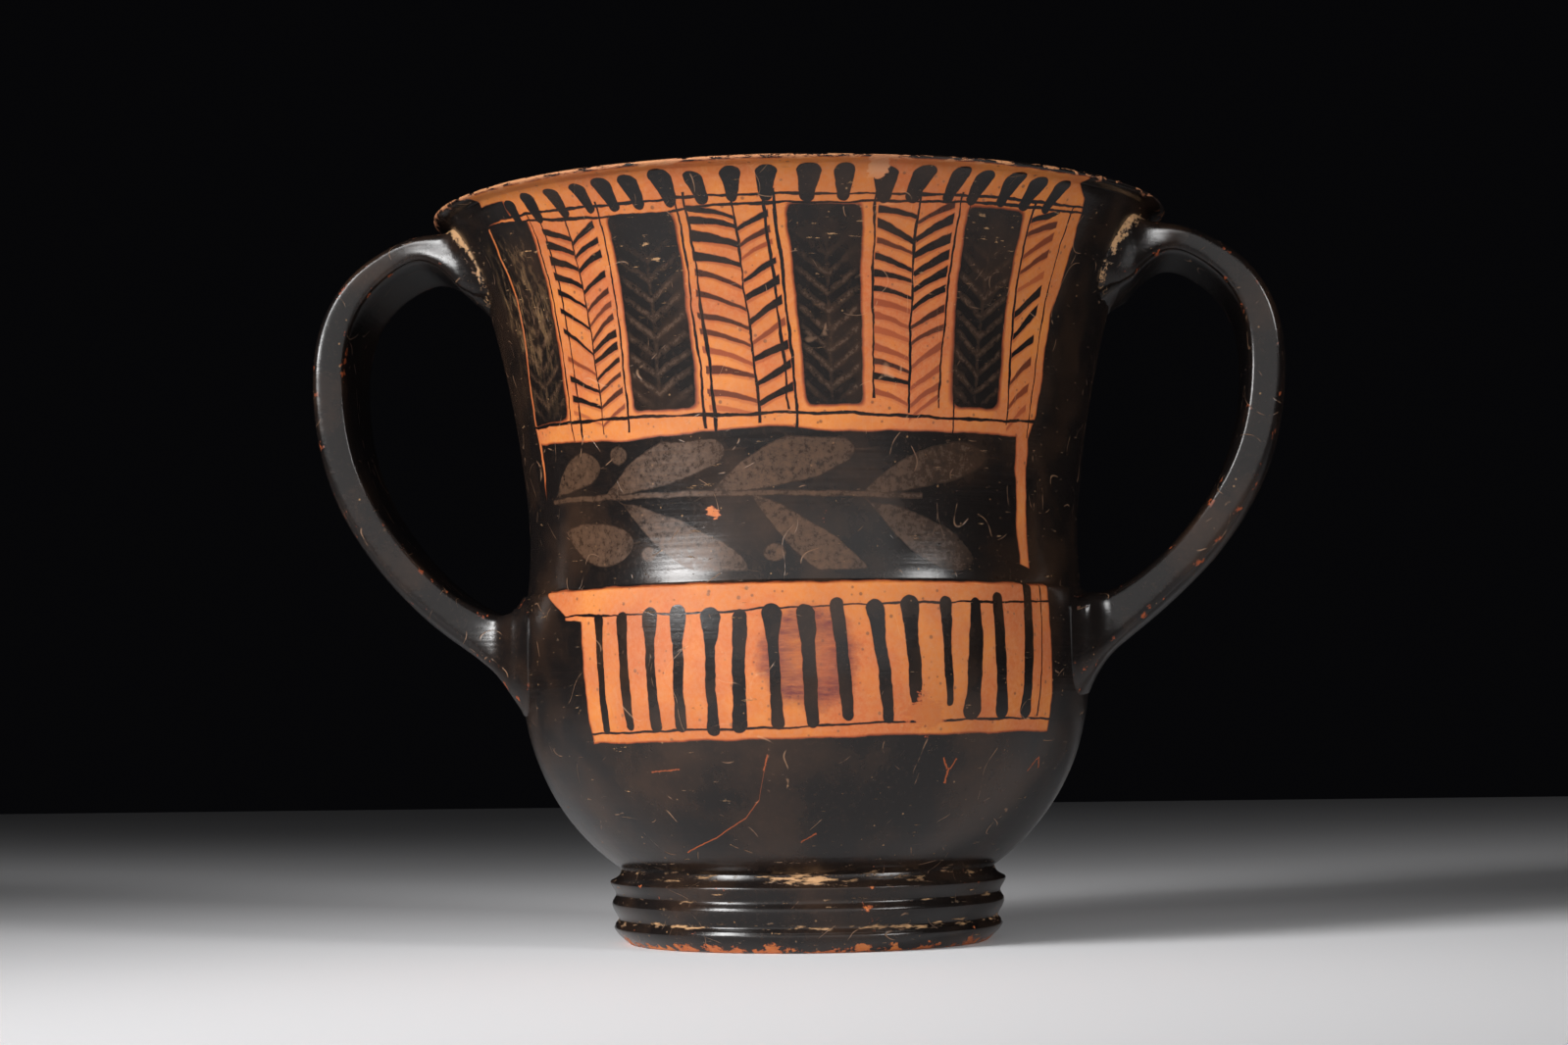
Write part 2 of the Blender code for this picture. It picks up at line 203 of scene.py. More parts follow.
def outer_radius(height):
    """Outer radius of bowl, shoulder or neck."""
    if height >= LEDGE:
        return neck_radius(height)
    if height >= BELLY:
        return BELLY_RADIUS - SHOULDER_DRAW_IN * ((height - BELLY) / (LEDGE - BELLY)) ** 2
    return bowl_curve(height, BELLY_RADIUS, FOOT_TOP, FOOT_TOP_RADIUS)


def wall_middle(height):
    """Radius of the middle of the cup's wall."""
    wall = NECK_WALL if height >= LEDGE else BOWL_WALL
    return outer_radius(min(height, CREASE)) - 0.5 * wall


def cup_outline():
    """Half outline of the whole cup, from under the foot, up its outer side and down its inner one."""
    outline = smoothed(UNDERSIDE, 2) + smoothed(FOOT, 2)
    for step in range(1, 37):
        height = BELLY - (BELLY - FOOT_TOP) * math.cos(0.5 * math.pi * step / 36) ** 1.2
        outline.append((outer_radius(height), height))
    for height in (52.0, 54.0, 56.0, 58.0, 59.5, 60.6):
        outline.append((outer_radius(height), height))
    outline += NECK_LEDGE
    for step in range(1, 45):
        height = mixed(NECK_LEDGE[-1][1], CREASE, step / 45)
        outline.append((neck_radius(height), height))
    outline += smoothed(LIP, 2)
    for step in range(1, 31):
        height = 126.2 - (126.2 - LEDGE) * (step / 30) ** 1.3
        outline.append((neck_radius(height) - NECK_WALL, height))
    for step in range(1, 27):
        height = FLOOR + (LEDGE - 3.0 - FLOOR) * math.cos(0.5 * math.pi * step / 27) ** 1.6
        outline.append((bowl_curve(height, BELLY_RADIUS - BOWL_WALL, FLOOR, FLOOR_RADIUS), height))
    return outline + INNER_FLOOR


def start_piece(name):
    """A new piece in edit mode, with one vertex at the origin."""
    bpy.ops.object.select_all(action="DESELECT")
    bpy.ops.mesh.primitive_plane_add(size=MM, location=(0.0, 0.0, 0.0))
    piece = bpy.context.active_object
    piece.name = name
    piece.data.name = name
    bpy.ops.object.mode_set(mode="EDIT")
    bpy.ops.mesh.select_all(action="SELECT")
    bpy.ops.mesh.merge(type="CENTER")
    return piece


def draw_line(points):
    """Draws a line with the one vertex there is, moved to the first point and extruded to the next ones."""
    place = Vector((0.0, 0.0, 0.0))
    for index, point in enumerate(points):
        step = Vector(point) * MM - place
        if index:
            bpy.ops.mesh.extrude_region_move(TRANSFORM_OT_translate={"value": step})
        else:
            bpy.ops.transform.translate(value=step)
        place = place + step


def turn_on_wheel(points, steps):
    """Draws the half outline and spins it into a closed turned form."""
    draw_line([(radius, 0.0, height) for radius, height in points])
    bpy.ops.mesh.select_all(action="SELECT")
    bpy.ops.mesh.spin(steps=steps, angle=2.0 * math.pi, center=(0.0, 0.0, 0.0), axis=(0.0, 0.0, 1.0))
    bpy.ops.mesh.select_all(action="SELECT")
    bpy.ops.mesh.remove_doubles(threshold=0.01 * MM)
    bpy.ops.mesh.normals_make_consistent(inside=False)


def pick(piece, wanted):
    """Selects the vertices of the piece in edit mode whose place in millimetres is wanted."""
    mesh = bmesh.from_edit_mesh(piece.data)
    for vertex in mesh.verts:
        vertex.select_set(bool(wanted(vertex.co / MM)))
    mesh.select_flush_mode()
    bmesh.update_edit_mesh(piece.data)


def choose(piece):
    """Leaves edit mode, with the piece as the only one selected."""
    bpy.ops.object.mode_set(mode="OBJECT")
    bpy.ops.object.select_all(action="DESELECT")
    piece.select_set(True)
    bpy.context.view_layer.objects.active = piece


def finish_shading(piece, angle):
    """Smooth faces, with sharp edges past the angle."""
    choose(piece)
    bpy.ops.object.shade_smooth_by_angle(angle=math.radians(angle))


def make_cup():
    """The turned body, hollow, with walls of true thickness and a lip that is not quite even."""
    cup = start_piece("cup")
    outline = cup_outline()
    turn_on_wheel(outline, TURN_STEPS)
    pick(cup, lambda place: place.z > 3.0)
    cup.vertex_groups.new(name="thrown")
    bpy.ops.object.vertex_group_assign()
    finish_shading(cup, 50.0)
    lay_out_flat(cup, outline)
    swell = bpy.data.textures.new("hand_swell", "CLOUDS")
    swell.noise_scale = 28.0 * MM
    uneven = cup.modifiers.new("uneven", "DISPLACE")
    uneven.texture = swell
    uneven.texture_coords = "LOCAL"
    uneven.vertex_group = "thrown"
    uneven.mid_level = 1.0
    uneven.strength = 0.45 * MM
    bpy.ops.object.modifier_apply(modifier=uneven.name)
    return cup


def lay_out_flat(cup, outline):
    """Lays the surface out for its colour map, in strips: underside, outer side's halves, inner side."""
    lengths = [0.0]
    for (r1, z1), (r2, z2) in zip(outline, outline[1:]):
        lengths.append(lengths[-1] + math.hypot(r2 - r1, z2 - z1))
    corners = KDTree(len(outline))
    for index, (radius, height) in enumerate(outline):
        corners.insert((radius, height, 0.0), index)
    corners.balance()
    travel = [lengths[corners.find((math.hypot(*vertex.co.xy) / MM, vertex.co.z / MM, 0.0))[1]]
              for vertex in cup.data.vertices]
    lip_top = max(LIP, key=lambda point: point[1])
    foot, lip = [lengths[corners.find((*point, 0.0))[1]] for point in (UNDERSIDE[-1], lip_top)]
    strips = [(0.0, foot, 0.005, 0.07), (foot, lip, 0.51, 0.995), (foot, lip, 0.205, 0.505),
              (lip, lengths[-1], 0.075, 0.2)]
    flat = cup.data.uv_layers.new(name="OFBake")
    for face in cup.data.polygons:
        middle = face.center / MM
        turn = math.atan2(middle.x, -middle.y)
        places = [cup.data.vertices[number].co / MM for number in face.vertices]
        runs = [travel[number] for number in face.vertices]
        run = 0.5 * (min(runs) + max(runs))
        part = 0 if run < foot else 3 if run > lip else 1 if abs(turn) < 0.5 * math.pi else 2
        low, high, bottom, top = strips[part]
        spread = 1.0 if part in (1, 2) else 0.5
        start = math.pi if part == 2 else 0.0
        for corner, place, length in zip(face.loop_indices, places, runs):
            ahead = math.atan2(place.x, -place.y) if math.hypot(place.x, place.y) > 0.01 else turn
            step = math.remainder(ahead - turn, 2.0 * math.pi)
            across = math.remainder(turn - start, 2.0 * math.pi) + step
            flat.data[corner].uv = (0.5 + 0.98 * spread * across / math.pi,
                                    mixed(bottom, top, (length - low) / (high - low)))


def even_wall(height):
    """Outer radius at height, evened out over the ledge and the crease."""
    return sum(outer_radius(min(height + step, CREASE)) for step in (-3.0, -1.5, 0.0, 1.5, 3.0)) / 5.0


def soften_roots(strap):
    """Spreads the strap along the wall where it runs into it, so that both meet in a smooth hollow."""
    # Noted before anything moves, because the cut lists the vertices in a new order each time
    normals = [vertex.normal.copy() for vertex in strap.data.vertices]
    for vertex, normal in zip(strap.data.vertices, normals):
        x, y, z = vertex.co / MM
        radius = math.hypot(x, y)
        level = min(z, CREASE - 0.5)
        reach = mixed(LOWER_FILLET, UPPER_FILLET, eased((z - 70.0) / 40.0))
        share = min(0.93, max(0.0, 0.91 - (radius - even_wall(level)) / reach))
        slope = 0.5 * (even_wall(level + 1.0) - even_wall(level - 1.0))
        wall = Vector((x / radius, y / radius, -slope)).normalized()
        along = normal - wall * normal.dot(wall)
        if share == 0.0 or along.length < 0.05:
            continue
        spread = reach * (1.0 - math.sqrt(1.0 - share * share)) * eased(along.length / 0.7)
        along.normalize()
        if z > 100.0 or z > 58.0 and along.z > 0.0:
            spread *= 1.0 - 0.85 * max(0.0, along.z)
        vertex.co += along * spread * MM


def give_sides(cup):
    """Gives the inner side and the underside their own finish."""
    for face in cup.data.polygons:
        x, y, z = face.center / MM
        radius = math.hypot(x, y)
        if z < 0.06 or radius < 30.0 and z < 9.0:
            face.material_index = 2
        elif z > 9.0 and (radius < outer_radius(min(z, CREASE)) - 2.0 or z > CREASE + 0.6 and radius < 63.6):
            face.material_index = 1


def strap_station(handle, path, share):
    """A strap's section at share along its path: place, direction inwards, width, edge, dome and lean."""
    x, z = through_points(path, share)
    back = through_points(path, share - 0.01)
    ahead = through_points(path, min(share + 0.01, 1.0))
    out = max(0.0, x - outer_radius(min(z, CREASE)))
    length = math.hypot(ahead[0] - back[0], ahead[1] - back[1])
    near = math.exp(-out / ROOT_TURN)
    inward = Vector((mixed((ahead[1] - back[1]) / length, 0.0, near), 0.0,
                     mixed((back[0] - ahead[0]) / length, -1.0 if share < 0.5 else 1.0, near))).normalized()
    down = eased(2.0 * share)
    width, edge, dome = STRAP_WIDTH, mixed(ARCH_EDGE, SIDE_EDGE, down), mixed(ARCH_DOME, SIDE_DOME, down)
    if share < 0.5:
        root = math.exp(-out / UPPER_ROOT_SPREAD)
        width = mixed(width, handle["upper_width"], math.exp(-out / UPPER_ROOT_SIDE_SPREAD))
        edge = mixed(edge, UPPER_ROOT_DEPTH, root)
    else:
        root = math.exp(-out / LOWER_ROOT_SPREAD)
        width = mixed(width, LOWER_ROOT_WIDTH, root)
        edge = mixed(edge, LOWER_ROOT_DEPTH, root)
        z -= 1.4 * root
    lean = math.atan(handle["lean"]) * (1.0 - down) * (1.0 - near)
    return x, z, inward, width, edge, dome * (1.0 - root), lean


def make_strap(name, handle):
    """A strap handle: a straight slab, extruded station by station, whose sections go to their places."""
    path = []
    for out, up in STRAP_PATH:
        z = mixed(handle["root"], handle["arch"], up) - 4.0 * handle["sag"] * up * (1.0 - up)
        path.append((mixed(wall_middle(z), handle["reach"], out), z))
    shares = [step / STRAP_STATIONS for step in range(STRAP_STATIONS + 1)]
    stations = [strap_station(handle, path, share - CLOSER_AT_ROOTS * math.sin(2.0 * math.pi * share))
                for share in shares]
    for end in (0, -1):
        x, *others = stations[end]
        stations.insert(end if end == 0 else len(stations), (x - ROOT_LENGTH, *others))
    strap = start_piece(name)
    run = STATION_STEP
    width, edge = stations[0][3:5]
    draw_line([(0.0, 0.5 * width * across, 0.5 * edge * through) for across, through in STRAP_SECTION])
    bpy.ops.mesh.select_all(action="SELECT")
    bpy.ops.mesh.edge_face_add()
    for index, station in enumerate(stations[1:], 1):
        bpy.ops.mesh.extrude_region_move(TRANSFORM_OT_translate={"value": (run * MM, 0.0, 0.0)})
        bpy.ops.transform.resize(value=(1.0, station[3] / width, station[4] / edge),
                                 center_override=(index * run * MM, 0.0, 0.0))
        width, edge = station[3:5]
    for index, station in enumerate(stations):
        for reach, share in ((0.2, 1.0), (0.6, 0.75)):
            low, high = 0.5 * station[3] * (reach - 0.2), 0.5 * station[3] * reach
            pick(strap, lambda place: abs(place.x - index * run) < 0.3 and low - 0.1 <= abs(place.y) <= high
                 and place.z < -0.4 * station[4])
            bpy.ops.transform.translate(value=(0.0, 0.0, -station[5] * share * MM))
    note_straight_places(strap, stations, run)
    rings = [[] for station in stations]
    mesh = bmesh.from_edit_mesh(strap.data)
    for vertex in mesh.verts:
        rings[round(vertex.co.x / MM / run)].append(vertex.index)
    for index, (ring, (x, z, inward, *_, lean)) in enumerate(zip(rings, stations)):
        mesh = bmesh.from_edit_mesh(strap.data)
        mesh.verts.ensure_lookup_table()
        bpy.ops.mesh.select_all(action="DESELECT")
        for number in ring:
            mesh.verts[number].select_set(True)
        centre = (index * run * MM, 0.0, 0.0)
        turn = math.atan2(handle["side"] * inward.x, inward.z)
        bpy.ops.transform.rotate(value=-turn, orient_axis="Y", center_override=centre)
        if lean:
            bpy.ops.transform.rotate(value=lean, orient_axis="X", center_override=centre)
        place = Vector((handle["side"] * x, 0.0, z - 0.5 * STRAP_WIDTH * math.tan(lean))) * MM
        bpy.ops.transform.translate(value=place - Vector(centre))
    bpy.ops.mesh.select_all(action="SELECT")
    bpy.ops.mesh.normals_make_consistent(inside=False)
    bpy.ops.object.mode_set(mode="OBJECT")
    smooth = strap.modifiers.new("smooth", "SUBSURF")
    smooth.levels = 2
    smooth.render_levels = 2
    bpy.ops.object.modifier_apply(modifier=smooth.name)
    trim_in_wall(strap)
    soften_roots(strap)
    finish_shading(strap, 40.0)
    return strap


def note_straight_places(strap, stations, run):
    """Keeps each corner's place on the straight slab: run along it, share across and share through."""
    bpy.ops.object.mode_set(mode="OBJECT")
    noted = strap.data.attributes.new("strap_place", "FLOAT_VECTOR", "POINT")
    for vertex, note in zip(strap.data.vertices, noted.data):
        x, y, z = vertex.co / MM
        width, edge = stations[round(x / run)][3:5]
        note.vector = (x, y / (0.5 * width), max(-1.0, z / (0.5 * edge)))
    bpy.ops.object.mode_set(mode="EDIT")


def trim_in_wall(strap):
    """Cuts the strap's ends off inside the cup's wall, so that nothing shows in the mouth."""
    cutter = start_piece("cutter")
    heights = [35.0 + 2.0 * step for step in range(48)]
    turn_on_wheel([(0.0, heights[0])] + [(wall_middle(height), height) for height in heights]
                  + [(0.0, heights[-1])], 96)
    choose(strap)
    trim = strap.modifiers.new("trim", "BOOLEAN")
    trim.operation = "DIFFERENCE"
    trim.solver = "EXACT"
    trim.object = cutter
    bpy.ops.object.modifier_apply(modifier=trim.name)
    bpy.data.objects.remove(cutter, do_unlink=True)


# Node arithmetic

class Reading:
    """A number or colour read at each point of the surface, with the usual arithmetic."""

    def __init__(self, tree, socket):
        self.tree = tree
        self.socket = socket

    def __add__(self, other):
        return reckon(self.tree, "ADD", self, other)

    def __sub__(self, other):
        return reckon(self.tree, "SUBTRACT", self, other)

    def __rsub__(self, other):
        return reckon(self.tree, "SUBTRACT", other, self)

    def __mul__(self, other):
        return reckon(self.tree, "MULTIPLY", self, other)

    def __truediv__(self, other):
        return reckon(self.tree, "DIVIDE", self, other)

    __radd__ = __add__
    __rmul__ = __mul__


def put(tree, socket, value):
    """Links a reading or a socket to an input, or sets the input to a plain value."""
    if isinstance(value, Reading):
        tree.links.new(value.socket, socket)
    elif isinstance(value, bpy.types.NodeSocket):
        tree.links.new(value, socket)
    else:
        socket.default_value = value


def reckon(tree, operation, *values, held=False):
    """One sum on readings and numbers, held between 0 and 1 if asked."""
    node = tree.nodes.new("ShaderNodeMath")
    node.operation = operation
    node.use_clamp = held
    for socket, value in zip(node.inputs, values):
        put(tree, socket, value)
    return Reading(tree, node.outputs[0])


def larger(first, second):
    return reckon(first.tree, "MAXIMUM", first, second)


def smaller(first, second):
    return reckon(first.tree, "MINIMUM", first, second)


def size_of(reading):
    return reckon(reading.tree, "ABSOLUTE", reading)


def over(reading, limit):
    """1 where the reading is over the limit, else 0."""
    return reckon(reading.tree, "GREATER_THAN", reading, limit)


def rise(reading, low, high):
    """0 up to low, 1 from high on, and even in between."""
    return reckon(reading.tree, "MULTIPLY_ADD", reading, 1.0 / (high - low), -low / (high - low), held=True)


def inside(distance, softness=0.16):
    """1 where the distance in millimetres is negative, else 0, with a soft edge."""
    return rise(distance, 0.5 * softness, -0.5 * softness)


def length_of(*sides):
    """The length of a line with these sides."""
    squares = [side * side for side in sides]
    total = squares[0]
    for square in squares[1:]:
        total = total + square
    return reckon(total.tree, "SQRT", total)


def parted(tree, socket, kind="Color"):
    """The three parts of a colour, or with kind XYZ of a place."""
    node = tree.nodes.new("ShaderNodeSeparate" + kind)
    tree.links.new(socket, node.inputs[0])
    return [Reading(tree, part) for part in node.outputs[:3]]


def blended(share, kind, sockets, values):
    """A mix node of this kind, with share and two values put in the numbered sockets."""
    node = share.tree.nodes.new("ShaderNodeMix")
    node.data_type = kind
    for number, value in zip(sockets, (share, *values)):
        put(share.tree, node.inputs[number], value)
    return node


def between(share, first, second):
    """The number at share of the way from first to second."""
    return Reading(share.tree, blended(share, "FLOAT", (0, 2, 3), (first, second)).outputs[0])


def tinted(share, first, second):
    """The colour at share of the way from first to second."""
    colours = [(*value, 1.0) if isinstance(value, tuple) else value for value in (first, second)]
    return Reading(share.tree, blended(share, "RGBA", (0, 6, 7), colours).outputs[2])


def listed(reading, rows, stepped=True):
    """What a list says at the reading. Rows are (start, value, ...), held until the next or leading to it."""
    tree = reading.tree
    low, high = rows[0][0], rows[-1][0] + (1.0 if stepped else 0.0)
    columns = list(zip(*[row[1:] for row in rows]))
    shifts = [min(0.0, *column) for column in columns]
    node = tree.nodes.new("ShaderNodeValToRGB")
    ramp = node.color_ramp
    ramp.interpolation = "CONSTANT" if stepped else "LINEAR"
    ramp.elements.remove(ramp.elements[-1])
    for index, row in enumerate(rows):
        position = (row[0] - low) / (high - low)
        stop = ramp.elements.new(position) if index else ramp.elements[0]
        stop.position = position
        values = [value - shift for value, shift in zip(row[1:], shifts)]
        stop.color = values + [0.0] * (4 - len(values))
    put(tree, node.inputs[0], rise(reading, low, high))
    found = parted(tree, node.outputs[0]) + [Reading(tree, node.outputs[1])]
    return [part + shift if shift else part for part, shift in zip(found, shifts)]


def course(reading, points):
    """The number that a drawn course has at the reading, from its points."""
    return listed(reading, points, stepped=False)[0]


def object_place(tree):
    """The piece's own coordinates."""
    return tree.nodes.new("ShaderNodeTexCoord").outputs["Object"]


def noise(tree, size, detail=2.0, roughness=0.5, stretch=None, shift=0.0):
    """Clouds about size millimetres across: their strength, and three separate ones as a colour."""
    place = object_place(tree)
    if stretch or shift:
        mapping = tree.nodes.new("ShaderNodeMapping")
        mapping.inputs["Scale"].default_value = stretch or (1.0, 1.0, 1.0)
        mapping.inputs["Location"].default_value = (shift, shift, shift)
        tree.links.new(place, mapping.inputs["Vector"])
        place = mapping.outputs[0]
    node = tree.nodes.new("ShaderNodeTexNoise")
    node.inputs["Scale"].default_value = 1.0 / (size * MM)
    node.inputs["Detail"].default_value = detail
    node.inputs["Roughness"].default_value = roughness
    tree.links.new(place, node.inputs["Vector"])
    return [Reading(tree, node.outputs[0])] + parted(tree, node.outputs["Color"])


def dots(tree, spacing, radius, share):
    """Round spots about radius millimetres wide, in that share of cells spacing apart."""
    node = tree.nodes.new("ShaderNodeTexVoronoi")
    node.inputs["Scale"].default_value = 1.0 / (spacing * MM)
    tree.links.new(object_place(tree), node.inputs["Vector"])
    chance, size = parted(tree, node.outputs["Color"])[:2]
    spot = inside(Reading(tree, node.outputs["Distance"]) - size * (radius / spacing), 0.4 * radius / spacing)
    return spot * over(chance, 1.0 - share)


def new_group(name, takes, gives, work):
    """A node group that gives what work returns. Labels that end in Colour are colours, the rest numbers."""
    group = bpy.data.node_groups.new(name, "ShaderNodeTree")
    for label in takes:
        group.interface.new_socket(name=label, in_out="INPUT", socket_type="NodeSocketFloat")
    for label in gives:
        kind = "NodeSocketColor" if label.endswith("Colour") else "NodeSocketFloat"
        group.interface.new_socket(name=label, in_out="OUTPUT", socket_type=kind)
    entry = group.nodes.new("NodeGroupInput")
    way_out = group.nodes.new("NodeGroupOutput")
    results = work(group, *[Reading(group, entry.outputs[label]) for label in takes])
    for label, result in zip(gives, results):
        group.links.new(result.socket, way_out.inputs[label])
    return group


def placed(tree, group, *values):
    """Places a group in a material or another group, and returns the readings that it gives."""
    node = tree.nodes.new("ShaderNodeGroup")
    node.node_tree = group
    for socket, value in zip(node.inputs, values):
        put(tree, socket, value)
    return [Reading(tree, socket) for socket in node.outputs]


# Painted ornament. Turn is in degrees round the cup from the front's middle, height in millimetres.

# By height: left and right edge of the neck's field, and width of the clay strips beside the laurel
NECK_SIDES = [
    (58, -57.0, 54.6), (66, -59.6, 54.4), (74, -59.3, 53.7), (80, -60.6, 53.1), (86, -60.6, 53.0),
    (90, -61.4, 54.6), (96, -61.0, 55.2), (107, -58.6, 54.8), (112, -57.9, 56.2), (119, -58.9, 56.3),
    (123.7, -58.5, 55.4), (126, -57.0, 54.4), (128, -56.0, 51.4), (130, -55.5, 50.5),
]
STRIP_WIDTHS = [
    (58, -1, -1), (64, -1, -1), (65, -1, 2.4), (74, -1, 2.6), (79, -0.1, 2.6), (81, 0.5, 3.0),
    (86, 0.9, 3.0),
]
# By turn: top of the laurel's ground, line under the panels, and the two lines under the rim
LAUREL_TOP = [(-62, 87.3), (-32, 86.0), (-3, 87.2), (11, 86.2), (41, 86.4), (60, 86.2)]
PANEL_FLOOR_LINE = [(-62, 90.2), (-12.5, 89.2), (10.8, 89.1), (32.6, 88.5), (60, 89.0)]
UNDER_RIM_LINES = [
    (-62, 125.0, 124.5), (-45, 124.4, 123.3), (-29, 123.6, 121.8), (-17, 123.7, 121.9),
    (-12, 123.7, 122.3), (10, 123.6, 122.3), (20, 123.7, 122.7), (41, 124.1, 123.2), (60, 124.6, 123.8),
]
# How far the upright lines lean, from the top of the panels to their bottom
LEANS = [
    (-62, -2.8), (-45, -1.2), (-38, -0.3), (-30, -1.3), (-22, -1.0), (-16, 0.7), (-13, 1.8), (-7, 2.3),
    (0, 3.2), (5, 3.0), (10, 1.6), (17, 1.5), (23, 1.2), (30, 0.0), (33, 1.6), (37, 1.3), (43, 1.4),
    (46, 2.6), (50, 0.6), (56, -1.2),
]
# Black panels: where each one's stretch starts, its left and right edge, and its top
PANELS = [
    (-70, -90, -45.9, 127.0), (-37, -28.6, -16.6, 122.2), (-7, 1.3, 13.6, 122.3),
    (22, 31.2, 42.3, 122.6), (48, 90, 91, 122),
]
# Upright lines: where each one's stretch starts, its turn, half its width and its lower end
UPRIGHTS = [
    (-70, -45.2, 0.13, 86.5), (-44, -42.8, 0.16, 86.6), (-40, -37.1, 0.13, 87.2),
    (-33, -29.9, 0.18, 87.3), (-22, -15.9, 0.15, 87.0), (-15.3, -14.5, 0.2, 85.4),
    (-11, -7.0, 0.17, 87.6), (-4, -2.0, 0.2, 89.6), (-1.2, -0.4, 0.22, 85.0), (8, 15.5, 0.19, 91.5),
    (19, 22.6, 0.2, 89.2), (26, 29.8, 0.16, 90.2), (30.7, 31.6, 0.13, 86.0), (37, 43.8, 0.17, 88.2),
    (48, 52.9, 0.15, 64.5),
]
# Herringbone columns, each side of a middle line: start, middle line, side, half the strokes' length
NO_COLUMN = -200
COLUMNS = [
    (-70, NO_COLUMN, 1, 3), (-45.4, -37.1, -1, 3.2), (-37.1, -37.1, 1, 3.0), (-29.2, NO_COLUMN, 1, 3),
    (-15.4, -7.0, -1, 3.9), (-7.0, -7.0, 1, 2.9), (-1.0, NO_COLUMN, 1, 3), (15.0, 22.6, -1, 3.4),
    (22.6, 22.6, 1, 3.3), (30.6, NO_COLUMN, 1, 3), (43.4, 43.9, 1, 3.3), (53.2, NO_COLUMN, 1, 3),
]
# How steeply their strokes climb outwards
COLUMN_SLOPES = [
    (-70, 0.4), (-45.4, 0.44), (-37.1, 0.47), (-15.4, 0.3), (-7.0, 0.5), (15.0, 0.27), (22.6, 0.55),
    (43.4, 0.57),
]
# Their strokes from the lowest up, by the turn where a column's stretch starts: height of the middle,
# slope, half the thickness, strength of the glaze
STROKES = {
    -70.0: [
        (90.3, 0.46, 0.25, 0.4), (92.9, 0.37, 0.34, 0.9), (95.8, 0.46, 0.34, 0.95),
        (98.9, 0.52, 0.26, 0.6), (103.0, 0.75, 0.3, 0.9), (106.8, 0.61, 0.3, 1.0),
        (110.2, 0.53, 0.3, 0.9), (113.1, 0.42, 0.44, 1.0), (115.8, 0.34, 0.46, 1.0),
        (118.3, 0.31, 0.42, 1.0), (120.4, 0.27, 0.44, 1.0),
    ],
    -37.1: [
        (90.2, 0.56, 0.28, 0.6), (93.0, 0.46, 0.34, 0.8), (95.6, 0.46, 0.3, 0.8),
        (98.0, 0.52, 0.32, 0.9), (100.5, 0.42, 0.4, 1.0), (102.4, 0.45, 0.42, 1.0),
        (104.6, 0.62, 0.34, 0.8), (106.9, 0.54, 0.32, 0.7), (109.2, 0.49, 0.34, 0.8),
        (112.1, 0.47, 0.38, 1.0), (115.5, 0.38, 0.42, 1.0), (117.7, 0.36, 0.36, 0.9),
        (120.0, 0.44, 0.36, 1.0),
    ],
    -15.4: [
        (89.9, 0.16, 0.3, 0.4), (92.2, 0.24, 0.4, 0.7), (96.1, 0.17, 0.46, 0.75), (98.7, 0.36, 0.4, 0.5),
        (101.7, 0.35, 0.34, 0.75), (104.4, 0.3, 0.36, 0.8), (107.6, 0.43, 0.34, 0.8),
        (111.0, 0.4, 0.36, 0.8), (114.1, 0.26, 0.5, 1.0), (117.3, 0.26, 0.55, 1.0),
        (119.8, 0.19, 0.42, 1.0), (121.4, 0.24, 0.36, 0.9),
    ],
    -7.0: [
        (92.2, 0.51, 0.5, 1.0), (95.6, 0.57, 0.5, 0.95), (99.2, 0.39, 0.48, 1.0),
        (102.3, 0.57, 0.38, 0.6), (105.8, 0.62, 0.5, 1.0), (109.2, 0.53, 0.5, 1.0),
        (112.1, 0.57, 0.36, 0.9), (115.2, 0.45, 0.3, 0.5), (117.3, 0.45, 0.36, 0.8),
        (119.8, 0.47, 0.38, 0.9),
    ],
    15.0: [
        (91.8, 0.35, 0.36, 0.5), (94.7, 0.19, 0.38, 0.95), (96.8, 0.29, 0.34, 0.8),
        (99.0, 0.31, 0.4, 0.5), (101.8, 0.22, 0.4, 0.45), (104.1, 0.27, 0.4, 0.5),
        (106.4, 0.2, 0.42, 0.5), (108.6, 0.23, 0.36, 0.85), (111.2, 0.18, 0.38, 0.9),
        (113.3, 0.33, 0.36, 0.9), (115.8, 0.3, 0.3, 0.75), (118.0, 0.42, 0.5, 1.0),
        (121.0, 0.15, 0.42, 0.9),
    ],
    22.6: [
        (90.3, 0.6, 0.32, 0.5), (92.3, 0.58, 0.42, 0.55), (95.0, 0.6, 0.42, 0.5),
        (98.5, 0.6, 0.42, 0.55), (102.0, 0.45, 0.38, 0.75), (104.8, 0.53, 0.42, 0.8),
        (108.0, 0.57, 0.46, 1.0), (110.8, 0.54, 0.52, 1.0), (113.3, 0.53, 0.52, 1.0),
        (116.0, 0.46, 0.6, 1.0), (118.7, 0.6, 0.56, 1.0), (121.2, 0.51, 0.4, 0.8),
    ],
    43.4: [
        (89.5, 0.6, 0.4, 0.45), (93.0, 0.61, 0.5, 0.6), (97.2, 0.64, 0.46, 0.7), (101.3, 0.52, 0.5, 0.9),
        (105.2, 0.75, 0.6, 1.0), (108.5, 0.7, 0.66, 1.0), (111.9, 0.52, 0.4, 0.4),
        (115.0, 0.57, 0.4, 0.7), (117.6, 0.6, 0.46, 0.6), (120.3, 0.31, 0.42, 0.75),
        (122.2, 0.26, 0.44, 0.9),
    ],
}
